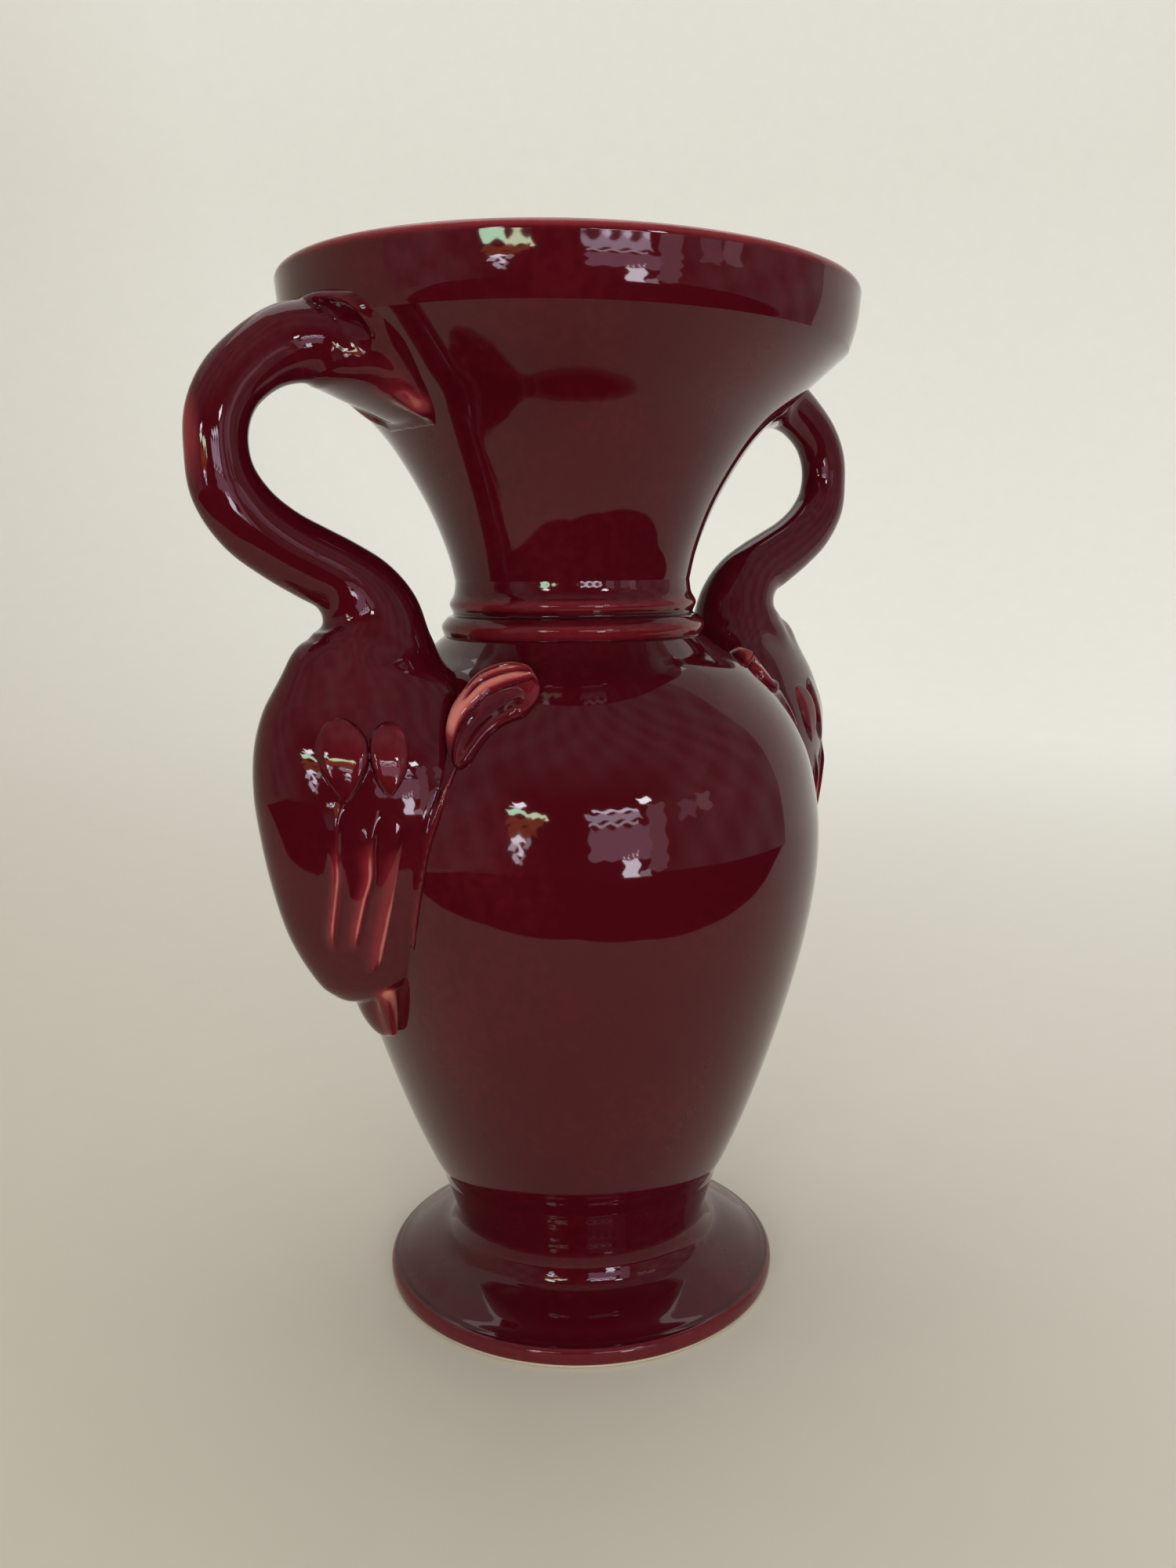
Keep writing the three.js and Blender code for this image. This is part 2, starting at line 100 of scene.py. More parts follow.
class SwanSizes(bpy.types.PropertyGroup):
    """Sizes of the swan handles and of the relief on them"""

    neck_depth: length("Neck depth", "Half the neck's thickness in the plane of the handle", 0.0068)
    neck_width: length("Neck width", "Half the neck's thickness across the handle", 0.0058)
    breast_depth: length("Breast depth", "Half the body's depth away from the vase", 0.0272)
    breast_width: length("Breast width", "Half the body's width along the belly", 0.0234)
    length: length("Length", "Height of the swan's body", 0.081)
    inset: length("Inset", "How far the body's middle lies inside the belly's widest radius", 0.0035)
    reach: length("Reach", "How far the neck's curve stands out past the rim", 0.0208)
    tail_depth: length("Tail depth", "Half the depth of the tail", 0.0066)
    tail_width: length("Tail width", "Half the width of the tail", 0.0054)
    tail_drop: length("Tail drop", "Length of the tail below the body", 0.014)
    flange_rise: length("Flange rise", "Height of the flange's top above the crease of the flare", 0.0052)
    flange_height: length("Flange height", "Height of the head's flange on the flare", 0.026)
    flange_width: length("Flange width", "Half the width of the flange", 0.021)
    flange_lift: length("Flange thickness", "How far the flange stands off the flare", 0.002)
    bill: length("Bill radius", "Thickness of the raised bill line", 0.0029)
    grain: length("Grain", "Size of the faces on the swans", 0.0005)
    wing_lift: length("Wing relief", "Height of the scalloped lobes", 0.0021)
    feather_lift: length("Feather relief", "Height of the long feathers", 0.0011)
    plume_length: length("Plume length", "Length of the plume on the shoulder", 0.03)
    plume_lift: length("Plume relief", "Height of the plume", 0.0036)


class GlazeColours(bpy.types.PropertyGroup):
    """Colours of the glaze and of the studio"""

    pool: colour("Pooled glaze", "Where the glaze lies thick in hollows", (0.026, 0.0012, 0.003))
    body: colour("Glaze", "The even part of the glaze", (0.050, 0.0018, 0.0048))
    thin: colour("Thin glaze", "Where the glaze thins on rounded edges", (0.17, 0.014, 0.020))
    broken: colour("Broken glaze", "Where the glaze breaks on ridges", (0.50, 0.17, 0.14))
    clay: colour("Clay", "Bare clay under the foot", (0.66, 0.58, 0.46))
    paper: colour("Paper", "Backdrop and far floor", (0.93, 0.925, 0.89))
    # Painted shade: the paper's colour in front of the vase and to its left, darker than the lit paper
    # behind it
    paper_painted_shade: colour("Near paper", "Floor in front of the vase", (0.56, 0.53, 0.45))


def sizes():
    return bpy.context.scene.vase_thrown


def swan_sizes():
    return bpy.context.scene.vase_swans


def colours():
    return bpy.context.scene.vase_colours


# Curves

def catmull(points, share, carried_on=True):
    """Points on a smooth curve through the given ones, at shares from 0 to 1 of their count."""
    p = np.asarray(points, float)
    share = np.clip(np.asarray(share, float), 0, 1)
    if carried_on:
        first, last = 2 * p[0] - p[1], 2 * p[-1] - p[-2]
    else:
        first, last = p[0], p[-1]
    q = np.vstack([first, p, last])
    at = share * (len(p) - 1)
    i = np.minimum(at.astype(int), len(p) - 2)
    w = (at - i)[..., None]
    a, b, c, d = q[i], q[i + 1], q[i + 2], q[i + 3]
    v0, v1 = (c - a) / 2, (d - b) / 2
    return (2 * b - 2 * c + v0 + v1) * w**3 + (-3 * b + 3 * c - 2 * v0 - v1) * w**2 + v0 * w + b


def smooth(points, steps):
    """The same curve with its points evenly spaced along its length."""
    fine = catmull(points, np.linspace(0, 1, steps * 12 + 1), carried_on=False)
    run = np.concatenate([[0], np.cumsum(np.linalg.norm(np.diff(fine, axis=0), axis=1))])
    even = np.linspace(0, run[-1], steps + 1)
    return np.column_stack([np.interp(even, run, fine[:, k]) for k in range(fine.shape[1])])


def moved(outline, distance):
    """A profile moved sideways, outwards when the distance is positive."""
    along = np.gradient(outline, axis=0)
    along /= np.linalg.norm(along, axis=1)[:, None]
    return outline + np.column_stack([along[:, 1], -along[:, 0]]) * distance


def between(a, b, share):
    return a + (b - a) * share


def smoothstep(x, low, high):
    t = np.clip((np.asarray(x, float) - low) / (high - low), 0, 1)
    return t * t * (3 - 2 * t)


# Heights and outlines of the thrown pieces

def heights():
    s = sizes()
    waist = s.foot_height
    body_top = waist + s.body_height
    neck_foot = body_top + s.collar_height
    band_foot = neck_foot + s.neck_height
    return {
        "waist": waist,
        "belly": waist + s.belly_rise,
        "body_top": body_top,
        "groove": body_top + s.bead_height,
        "neck_foot": neck_foot,
        "band_foot": band_foot,
        "rim_top": band_foot + s.band_height,
    }


def foot_outline():
    s, h = sizes(), heights()
    edge = catmull(
        [
            [s.foot_radius - 1.3 * MM, 0],
            [s.foot_radius - 0.2 * MM, 1.3 * MM],
            [s.foot_radius, 2.9 * MM],
            [s.foot_radius - 0.2 * MM, s.foot_edge - 1 * MM],
            [s.foot_radius - 0.8 * MM, s.foot_edge - 0.25 * MM],
            [s.foot_radius - 1.6 * MM, s.foot_edge],
        ],
        np.linspace(0, 1, 22),
        carried_on=False,
    )
    rise = smooth(
        [
            [between(s.waist_radius, s.foot_radius, across), between(s.foot_edge, h["waist"], up)]
            for across, up in [
                (0.866, 0.022), (0.762, 0.057), (0.616, 0.119), (0.482, 0.171), (0.348, 0.218),
                (0.213, 0.262), (0.104, 0.306), (0.027, 0.358), (-0.021, 0.425), (-0.058, 0.503),
                (-0.082, 0.58), (-0.091, 0.658), (-0.084, 0.736), (-0.061, 0.824), (-0.03, 0.912),
                (0, 1),
            ]
        ],
        90,
    )
    return np.vstack([edge, rise])


def belly_outline():
    s, h = sizes(), heights()
    low = [
        [between(s.waist_radius, s.belly_radius, across), between(h["waist"], h["belly"], up)]
        for across, up in [
            (0, 0), (0.02, 0.0175), (0.046, 0.039), (0.093, 0.078), (0.181, 0.124), (0.396, 0.27),
            (0.652, 0.48), (0.859, 0.689), (0.974, 0.867), (1, 1),
        ]
    ]
    high = [
        [between(s.shoulder_radius, s.belly_radius, across), between(h["belly"], h["body_top"], up)]
        for across, up in [
            (0.966, 0.212), (0.885, 0.414), (0.715, 0.618), (0.417, 0.822), (0.166, 0.922), (0, 1),
        ]
    ]
    return smooth(low + high, 170)


def collar_outline():
    s, h = sizes(), heights()
    top, groove = h["neck_foot"], h["groove"]
    return smooth(
        [
            [s.shoulder_radius, h["body_top"]],
            [s.bead_radius, h["body_top"] + s.bead_height * 0.45],
            [s.small_bead_radius + 0.6 * MM, groove - s.bead_height * 0.16],
            [s.bead_radius - s.groove_depth - 1.3 * MM, groove],
            [s.small_bead_radius, groove + (top - groove) * 0.3],
            [s.neck_radius + 0.4 * MM, groove + (top - groove) * 0.62],
            [s.neck_radius, top],
        ],
        48,
    )


def neck_outline():
    s, h = sizes(), heights()
    return smooth(
        [
            [
                between(s.neck_radius, s.flare_radius, across),
                between(h["neck_foot"], h["band_foot"], up),
            ]
            for across, up in [
                (0, 0), (0.05, 0.138), (0.164, 0.332), (0.334, 0.536), (0.483, 0.67),
                (0.676, 0.795), (0.865, 0.915), (1, 1),
            ]
        ],
        70,
    )


def band_outline():
    s, h = sizes(), heights()
    foot, top, lip = h["band_foot"], h["rim_top"], s.lip
    side = catmull(
        [
            [s.flare_radius, foot],
            [between(s.flare_radius, s.rim_radius, 0.45), foot + s.band_height * 0.24],
            [between(s.flare_radius, s.rim_radius, 0.8), foot + s.band_height * 0.52],
            [s.rim_radius, top - lip],
        ],
        np.linspace(0, 1, 25),
        carried_on=False,
    )
    turn = np.linspace(0, math.pi / 2, 9)[1:]
    round_lip = [s.rim_radius - lip + lip * np.cos(turn), top - lip + lip * np.sin(turn)]
    return np.vstack([side, np.column_stack(round_lip)])


_walls = {}


def wall_outline():
    """The whole outside of the vase above the waist, kept once it is worked out."""
    if "wall" not in _walls:
        _walls["wall"] = np.vstack(
            [belly_outline(), collar_outline()[1:], neck_outline()[1:], band_outline()[1:]]
        )
    return _walls["wall"]


def wall_radius(z):
    w = wall_outline()
    return np.interp(z, w[:, 1], w[:, 0])


def on_wall(azimuth, z):
    """Points on the outside of the vase and the way out of it there."""
    radius = wall_radius(z)
    step = 0.2 * MM
    slope = (wall_radius(z + step) - wall_radius(z - step)) / (2 * step)
    c, s = np.cos(azimuth), np.sin(azimuth)
    normal = np.stack([c, s, -slope], -1)
    return (
        np.stack([radius * c, radius * s, z + 0 * azimuth], -1),
        normal / np.linalg.norm(normal, axis=-1)[..., None],
    )


def sagged(co):
    """Points after the rim has sunk to one side, from nothing at the collar to all of it at the lip."""
    s, h = sizes(), heights()
    share = smoothstep(co[:, 2], h["neck_foot"], h["rim_top"])
    across = co[:, 0] * math.cos(s.tilt_azimuth) + co[:, 1] * math.sin(s.tilt_azimuth)
    out = co.copy()
    out[:, 2] -= math.tan(s.rim_tilt) * across * share
    return out


# Meshes

def coordinates(mesh):
    co = np.empty(len(mesh.vertices) * 3, np.float32)
    mesh.vertices.foreach_get("co", co)
    return co.reshape(-1, 3).astype(float)


def set_coordinates(mesh, co):
    mesh.vertices.foreach_set("co", np.ascontiguousarray(co, np.float32).ravel())
    mesh.update()


def edge_ends(mesh):
    ends = np.empty(len(mesh.edges) * 2, np.int32)
    mesh.edges.foreach_get("vertices", ends)
    return ends.reshape(-1, 2)


def bend_of(mesh):
    """How sharply each point of a mesh bends, convex positive, in 1/m."""
    co = coordinates(mesh)
    normals = np.empty(len(mesh.vertices) * 3, np.float32)
    mesh.vertices.foreach_get("normal", normals)
    normals = normals.reshape(-1, 3)
    ends = edge_ends(mesh)
    a, b = ends[:, 0], ends[:, 1]
    step = co[b] - co[a]
    gap = np.maximum((step**2).sum(1), 1e-10)
    bend = ((normals[b] - normals[a]) * step).sum(1) / gap
    out = np.full(len(co), -1e9)
    low = np.full(len(co), 1e9)
    for end in (a, b):
        np.maximum.at(out, end, bend)
        np.minimum.at(low, end, bend)
    return out, low, ends


def averaged(values, ends, rounds):
    """Values at a mesh's points, blurred along its edges."""
    count = np.bincount(ends.ravel(), minlength=len(values)).astype(float)
    for _ in range(rounds):
        total = np.bincount(ends[:, 0], values[ends[:, 1]], len(values))
        total += np.bincount(ends[:, 1], values[ends[:, 0]], len(values))
        values = 0.4 * values + 0.6 * total / np.maximum(count, 1)
    return values


def mark_breaks(mesh, low, high, strength, shade):
    """Writes how thin the glaze lies: 0.5 is even, 1 broken on a ridge, 0 pooled in a hollow."""
    out, hollow, ends = bend_of(mesh)
    ridge = averaged(smoothstep(out, low, high), ends, 3) * strength
    pool = averaged(smoothstep(-hollow, low, high), ends, 4)
    if shade is not None:
        ridge = np.maximum(ridge, averaged(shade, ends, 1))
    value = np.clip(0.5 + 0.5 * ridge - 0.35 * pool * (1 - ridge), 0, 1)
    layer = mesh.attributes.new("glaze_break", "FLOAT", "POINT")
    layer.data.foreach_set("value", value.astype(np.float32))


def keep(mesh, node, breaks=(220, 900), strength=0, shade=None, sharp=50, bare_foot=False):
    """Glazes a finished mesh and puts it in the scene in place of its CAD node."""
    for polygon in mesh.polygons:
        polygon.use_smooth = True
    mesh.set_sharp_from_angle(angle=math.radians(sharp))
    mark_breaks(mesh, *breaks, strength, shade)
    mesh.materials.append(glaze("glaze_" + node, bare_foot))
    piece = bpy.data.objects.new(mesh.name, mesh)
    bpy.context.scene.collection.objects.link(piece)
    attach(piece, "root")
    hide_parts(node)


def mesh_of(name, bm):
    bmesh.ops.recalc_face_normals(bm, faces=bm.faces)
    mesh = bpy.data.meshes.new(name)
    bm.to_mesh(mesh)
    bm.free()
    return mesh


def spun(name, profile, steps):
    """A profile spun about the axis. One that starts off the axis closes on itself."""
    bm = bmesh.new()
    verts = [bm.verts.new((float(r), 0, float(z))) for r, z in profile]
    pairs = list(zip(verts, verts[1:]))
    if profile[0][0] > 1e-9:
        pairs.append((verts[-1], verts[0]))
    edges = [bm.edges.new(pair) for pair in pairs]
    bmesh.ops.spin(
        bm, geom=verts + edges, cent=(0, 0, 0), axis=(0, 0, 1),
        angle=2 * math.pi, steps=steps, use_merge=True,
    )
    bmesh.ops.remove_doubles(bm, verts=bm.verts, dist=1e-6)
    return mesh_of(name, bm)


def turned(name, profile, shade=None):
    """A profile turned on the wheel and sagged with the rim.

    Returns the mesh, and how broken the glaze is at each of its points where a shade is given.
    """
    mesh = spun(name, profile, sizes().segments)
    co = coordinates(mesh)
    shades = shade(np.hypot(co[:, 0], co[:, 1]), co[:, 2]) if shade else None
    set_coordinates(mesh, sagged(co))
    return mesh, shades


def sprig(name, surface, relief, steps, rows, shade=None, low=-0.8 * MM):
    """A thin piece of relief on a surface: a grid pressed to it, with its underside sunk by low.

    Returns the mesh, and how broken the glaze is at each of its points where a shade is given.
    """
    bm = bmesh.new()
    bmesh.ops.create_grid(bm, x_segments=steps, y_segments=rows, size=1)
    made = bmesh.ops.extrude_face_region(bm, geom=bm.faces[:], use_keep_orig=True)
    for item in made["geom"]:
        if isinstance(item, bmesh.types.BMVert):
            item.co.z = -1
    flat = np.array([v.co[:] for v in bm.verts])
    s, t = (flat[:, 0] + 1) / 2, flat[:, 1]
    point, normal = surface(s, t)
    under = flat[:, 2] < -0.5
    lift = np.where(under, low, relief(s, t))
    co = point + normal * lift[:, None]
    for vert, place in zip(bm.verts, co):
        vert.co = place
    shades = np.where(under, 0, shade(s, t)) if shade else None
    return mesh_of(name, bm), shades


# Swans

def swan_plane():
    return sizes().belly_radius - swan_sizes().inset


def swan_stations():
    """Distance from the axis, height, half depth, half width and keel of each section of the swan."""
    s, w, h = sizes(), swan_sizes(), heights()
    plane, top, band = swan_plane(), h["body_top"], h["band_foot"]

    def breast(down, deep, broad, lean=0, keel=0.3):
        return [
            plane + w.breast_depth * lean, top - w.length * down,
            w.breast_depth * deep, w.breast_width * broad, keel,
        ]

    def arch(out, down, deep=1, broad=1):
        return [
            s.rim_radius + w.reach * out, band - s.neck_height * down,
            w.neck_depth * deep, w.neck_width * broad, 0,
        ]

    return np.array([
        breast(1, 0.02, 0.02, -0.074),
        breast(0.991, 0.31, 0.34, -0.055),
        breast(0.967, 0.485, 0.47, -0.037),
        breast(0.914, 0.61, 0.58, -0.018),
        breast(0.821, 0.74, 0.73),
        breast(0.698, 0.842, 0.88, 0.018),
        breast(0.562, 0.93, 0.98, 0.018),
        breast(0.426, 1, 1.02),
        breast(0.29, 1, 0.96, -0.018),
        breast(0.167, 0.908, 0.77, -0.037),
        breast(0.068, 0.735, 0.6, -0.048),
        breast(-0.012, 0.544, 0.449, -0.074, 0.1),
        breast(-0.08, 0.456, 0.376, -0.059, 0),
        breast(-0.14, 0.375, 0.333, 0.037, 0),
        arch(-0.255, 0.967, 1.26, 1.2),
        arch(0.02, 0.914, 1.22, 1.14),
        arch(0.38, 0.841, 1.17, 1.09),
        arch(0.706, 0.75, 1.16, 1.06),
        arch(0.93, 0.633, 1.11, 1.04),
        arch(1, 0.505),
        arch(0.971, 0.376),
        arch(0.808, 0.259),
        arch(0.514, 0.161, 1.05, 1.02),
        arch(0.202, 0.1, 1.18, 1.14),
        arch(-0.087, 0.08, 1.28, 1.55),
        arch(-0.3, 0.103, 1.26, 2.15),
        arch(-0.48, 0.14, 1.1, 2.55),
        arch(-0.69, 0.195, 0.86, 2.5),
        arch(-0.904, 0.252, 0.64, 2),
        arch(-1.12, 0.31, 0.42, 1.5),
        arch(-1.264, 0.348, 0.15, 1),
    ])


def tail_place(drop, lean):
    """Distance from the axis and height of a place on the tail."""
    w, h = swan_sizes(), heights()
    return [swan_plane() + w.tail_depth * lean, h["body_top"] - w.length - w.tail_drop * drop]


def tail_stations():
    w = swan_sizes()
    return np.array([
        tail_place(drop, lean) + [w.tail_depth * deep, w.tail_width * broad, 0]
        for drop, lean, deep, broad in [
            (-0.8, 0.15, 1.06, 1.35),
            (-0.25, 0.15, 0.86, 1.6),
            (0.04, 0.09, 0.75, 1.52),
            (0.4, -0.03, 0.62, 1.22),
            (0.68, -0.21, 0.48, 0.88),
            (0.86, -0.36, 0.28, 0.52),
            (0.92, -0.42, 0.05, 0.07),
        ]
    ])


# Least half thickness of a loft, at its closed ends
LEAST = 0.05 * MM


def heading(path, share, step):
    """The way a curve runs at the given shares of its points."""
    along = catmull(path, np.minimum(share + step, 1)) - catmull(path, np.maximum(share - step, 0))
    return along / np.linalg.norm(along, axis=-1)[..., None]


def loft_skin(stations):
    """The skin of a loft in the plane of the handle, by the share along it and the angle round it."""
    middle = stations[:, :2]

    def skin(share, angle):
        centre, girth = catmull(middle, share), catmull(stations[:, 2:], share)
        along = heading(middle, share, 1e-4)
        depth = np.maximum(girth[..., 0], LEAST) * np.cos(angle)
        width = np.maximum(girth[..., 1], LEAST) * np.sin(angle) * (1 - girth[..., 2] * np.cos(angle))
        return np.stack(
            [centre[..., 0] + along[..., 1] * depth, width, centre[..., 1] - along[..., 0] * depth], -1
        )

    return skin


def add_tube(bm, skin, rings, sides):
    """Adds a closed tube over a skin: a grid rolled up, with both ends gathered to a point."""
    made = bmesh.ops.create_grid(bm, x_segments=rings, y_segments=sides, size=1)["verts"]
    flat = np.array([v.co[:2] for v in made])
    share, angle = (flat[:, 0] + 1) / 2, (flat[:, 1] + 1) * math.pi
    co = skin(share, angle)
    for end in (0.0, 1.0):
        at_end = np.abs(share - end) < 1e-6
        co[at_end] = co[at_end].mean(0)
    for vert, place in zip(made, co):
        vert.co = place
    bmesh.ops.remove_doubles(bm, verts=made, dist=1e-7)


def flange_surface(s, t):
    w, h = swan_sizes(), heights()
    place = catmull(
        [
            [0, 0.3], [0.05, 0.78], [0.14, 1.02], [0.28, 1.18],
            [0.4, 1.2], [0.57, 1.06], [0.76, 0.86], [1, 0.52],
        ],
        s, carried_on=False,
    )
    z = h["band_foot"] + w.flange_rise - w.flange_height * place[:, 0]
    return on_wall(t * w.flange_width * place[:, 1] / wall_radius(z), z)


# The roll round the head, as distance aside and drop below the top of the flange
ROLL = (
    (0, 0.048), (0.28, 0.042), (0.52, 0.06), (0.71, 0.1), (0.84, 0.175), (0.86, 0.25),
    (0.8, 0.33), (0.73, 0.43), (0.68, 0.56), (0.64, 0.69), (0.58, 0.84), (0.52, 0.98),
)


def far_from(places, line):
    """Distance of places in the plane from a line of points, and the share along it of the nearest."""
    line = np.asarray(line, float)
    near = np.full(len(places), 1e9)
    at = np.zeros(len(places))
    for i, (a, b) in enumerate(zip(line, line[1:])):
        span = b - a
        share = np.clip(((places - a) @ span) / (span @ span), 0, 1)
        gap = np.linalg.norm(places - a - share[:, None] * span, axis=1)
        at = np.where(gap < near, (i + share) / (len(line) - 1), at)
        near = np.minimum(near, gap)
    return near, at


def flange_relief(s, t):
    """A thin plate on the flare with a roll round the head that fades towards the bill."""
    w, h = swan_sizes(), heights()
    point, _ = flange_surface(s, t)
    radius = np.hypot(point[:, 0], point[:, 1])
    aside = np.abs(np.arctan2(point[:, 1], point[:, 0])) * radius
    drop = h["band_foot"] + w.flange_rise - point[:, 2]
    line = np.array(ROLL) * (w.flange_width, w.flange_height)
    gap, along = far_from(np.column_stack([aside, drop]), line)
    roll = np.exp(-((gap / (1.25 * MM)) ** 2)) * between(1, 0.5, along)
    edge = np.clip(1 - np.abs(t) ** 6, 0, 1) * smoothstep(s, 0, 0.06)
    return -0.5 * MM + edge * (0.85 * MM + w.flange_lift * 1.1 * roll)


def line_skin(points, thickness):
    """A round line through places in space, thick or thin along its length."""
    path = np.column_stack([points, thickness])

    def skin(share, angle):
        here = catmull(path, share)
        along = heading(path[:, :3], share, 1e-3)
        up = np.array([0, 0, 1]) - along * along[..., 2:3]
        up /= np.linalg.norm(up, axis=-1)[..., None]
        out = np.cross(along, up)
        thick, angle = here[..., 3:4], angle[..., None]
        return here[..., :3] + up * thick * np.cos(angle) + out * thick * np.sin(angle)

    return skin


def bill_skin(side):
    s, w, h = sizes(), swan_sizes(), heights()
    line = np.array([
        [-0.264, 0.83, 0.09, 0.7], [-0.5625, 1.345, 0.187, 0.92], [-0.875, 1.66, 0.2716, 0.8],
        [-1.08, 1.78, 0.325, 0.55], [-1.16, 1.84, 0.35, 0.15],
    ])
    places = np.column_stack([
        s.rim_radius + w.reach * line[:, 0], side * w.neck_width * line[:, 1],
        h["band_foot"] - s.neck_height * line[:, 2],
    ])
    return line_skin(places, line[:, 3] * w.bill)


def hood_skin():
    """The brow between the end of the swan's neck and the roll."""
    s, w, h = sizes(), swan_sizes(), heights()
    line = np.array([
        [-0.71, 0.9, 0.212, 0.47], [-0.48, 0.93, 0.123, 0.56], [-0.24, 0.949, 0.085, 0.6],
        [0, 0.952, 0.073, 0.62],
    ])
    line = np.vstack([line, line[2::-1] * (-1, 1, 1, 1)])
    radius = s.flare_radius * line[:, 1]
    azimuth = w.flange_width * line[:, 0] / radius
    z = h["band_foot"] - w.flange_height * line[:, 2]
    places = np.column_stack([radius * np.cos(azimuth), radius * np.sin(azimuth), z])
    return line_skin(places, line[:, 3] * w.neck_depth)


def quill_skin(side):
    """A raised quill down each side of the tail."""
    w = swan_sizes()
    line = np.array([
        [0.62, 1.5, -0.25, 0.1], [0.45, 1.52, -0.05, 0.2], [0.28, 1.36, 0.18, 0.24],
        [0.02, 1.02, 0.5, 0.24], [-0.28, 0.66, 0.78, 0.2], [-0.38, 0.5, 0.88, 0.05],
    ])
    places = np.array([
        [tail_place(drop, lean)[0], side * w.tail_width * aside, tail_place(drop, lean)[1]]
        for lean, aside, drop, thick in line
    ])
    return line_skin(places, line[:, 3] * w.tail_depth)


def seam_skin(side):
    """The lip of clay where the swan's breast meets the belly."""
    w, h = swan_sizes(), heights()
    line = np.array([
        [1.2, 0.29, 0.3], [1.165, 0.35, 0.7], [1.12, 0.437, 0.85], [1.035, 0.536, 0.85],
        [0.965, 0.636, 0.8], [0.875, 0.735, 0.7], [0.75, 0.858, 0.3],
    ])
    z = h["body_top"] - w.length * line[:, 1]
    places, out = on_wall(side * w.breast_width * line[:, 0] / wall_radius(z), z)
    return line_skin(places + out * 0.3 * MM, line[:, 2] * 1.1 * MM)


# Dimples on the swan's shoulders in mm: distance from the axis, aside and drop, and three radii
DIMPLES = (((69.4, 7.8, 1.4), (3.4, 3, 4.6)), ((58.6, 12.4, 2.6), (4.4, 4, 4)))
DIMPLE_DEPTH = 0.6 * MM
SMOOTH_ROUNDS = 11


def pressed(co, side, centre, radii):
    """Presses a soft oval dimple into points, towards the handle's middle plane."""
    out, aside, drop = centre
    centre = np.array([out, side * aside, heights()["body_top"] - drop])
    far = (((co - centre) / radii) ** 2).sum(1)
    inward = np.array([swan_plane(), 0, centre[2]]) - centre
    inward /= np.linalg.norm(inward)
    return co + inward * (DIMPLE_DEPTH * np.exp(-far))[:, None]


def near_line(co, points, thick, width):
    """1 within a thickness of a line through places in space, falling away beside it."""
    near = np.full(len(co), 1e9)
    for place in catmull(points, np.linspace(0, 1, 60)):
        near = np.minimum(near, ((co - place) ** 2).sum(1))
    return np.exp(-((np.maximum(np.sqrt(near) - thick, 0) / width) ** 2))


def swan_shade(co):
    """Where the glaze breaks: the tail's quills, cheek and bill, and the outer side of the neck."""
    s, w, h = sizes(), swan_sizes(), heights()
    shade = np.zeros(len(co))
    ring = np.zeros(60)
    for side in (1, -1):
        quill = quill_skin(side)(np.linspace(0.2, 0.97, 60), ring)
        shade = np.maximum(shade, 0.9 * near_line(co, quill[::4], 1.2 * MM, 1.3 * MM))
        bill = bill_skin(side)(np.linspace(0.08, 0.9, 60), ring)
        shade = np.maximum(shade, 0.52 * near_line(co, bill[8:22:3], 3 * MM, 2.2 * MM))
        shade = np.maximum(shade, 0.8 * near_line(co, bill[28:38:3], 2.5 * MM, 1.4 * MM))
    out = smoothstep((co[:, 0] - s.rim_radius - w.reach) / w.neck_depth, 0.62, 1)
    drop = (h["band_foot"] - co[:, 2]) / s.neck_height
    bend = smoothstep(-drop, -0.68, -0.45) * smoothstep(drop, 0.2, 0.35)
    return np.maximum(shade, 0.45 * out * bend)


def applied(piece):
    """The piece's mesh with its modifiers worked in."""
    graph = bpy.context.evaluated_depsgraph_get()
    mesh = bpy.data.meshes.new_from_object(piece.evaluated_get(graph))
    old = piece.data
    piece.modifiers.clear()
    bpy.data.objects.remove(piece)
    bpy.data.meshes.remove(old)
    return mesh


def swan_mesh(name):
    """One swan at +X: neck, body, tail, head and flange, fused, smoothed and seated on the wall."""
    w = swan_sizes()
    bm = bmesh.new()
    add_tube(bm, loft_skin(swan_stations()), 420, 96)
    add_tube(bm, loft_skin(tail_stations()), 60, 40)
    add_tube(bm, hood_skin(), 60, 24)
    for side in (1, -1):
        add_tube(bm, bill_skin(side), 50, 24)
        add_tube(bm, quill_skin(side), 40, 16)
        add_tube(bm, seam_skin(side), 60, 12)
    mesh = mesh_of(name, bm)
    flange, _ = sprig(name + "_flange", flange_surface, flange_relief, 60, 60, low=-1.5 * MM)
    bm = bmesh.new()
    bm.from_mesh(mesh)
    bm.from_mesh(flange)
    bm.to_mesh(mesh)
    bm.free()
    bpy.data.meshes.remove(flange)
    rough = bpy.data.objects.new(name, mesh)
    bpy.context.scene.collection.objects.link(rough)
    fuse = rough.modifiers.new("Fuse", "REMESH")
    fuse.mode = "VOXEL"
    fuse.voxel_size = w.grain
    fuse.use_smooth_shade = True
    mesh = applied(rough)
    bm = bmesh.new()
    bm.from_mesh(mesh)
    for _ in range(SMOOTH_ROUNDS):
        bmesh.ops.smooth_vert(
            bm, verts=bm.verts, factor=0.5, use_axis_x=True, use_axis_y=True, use_axis_z=True
        )
    bm.to_mesh(mesh)
    bm.free()
    co = coordinates(mesh)
    for side in (1, -1):
        for centre, radii in DIMPLES:
            co = pressed(co, side, np.array(centre) * MM, np.array(radii) * MM)
    radius = np.hypot(co[:, 0], co[:, 1])
    seat = wall_radius(co[:, 2]) - 1.2 * MM
    push = np.maximum(seat / np.maximum(radius, 1e-6), 1)
    co[:, :2] *= push[:, None]
    set_coordinates(mesh, co)
    return mesh


# The wing's top and end: its place along the swan's sections, its middle angle and half its spread
WING_PLACE, WING_TURN, WING_SPREAD = (8.95 / 29, 2.55 / 29), (66, 49), (27, 24)


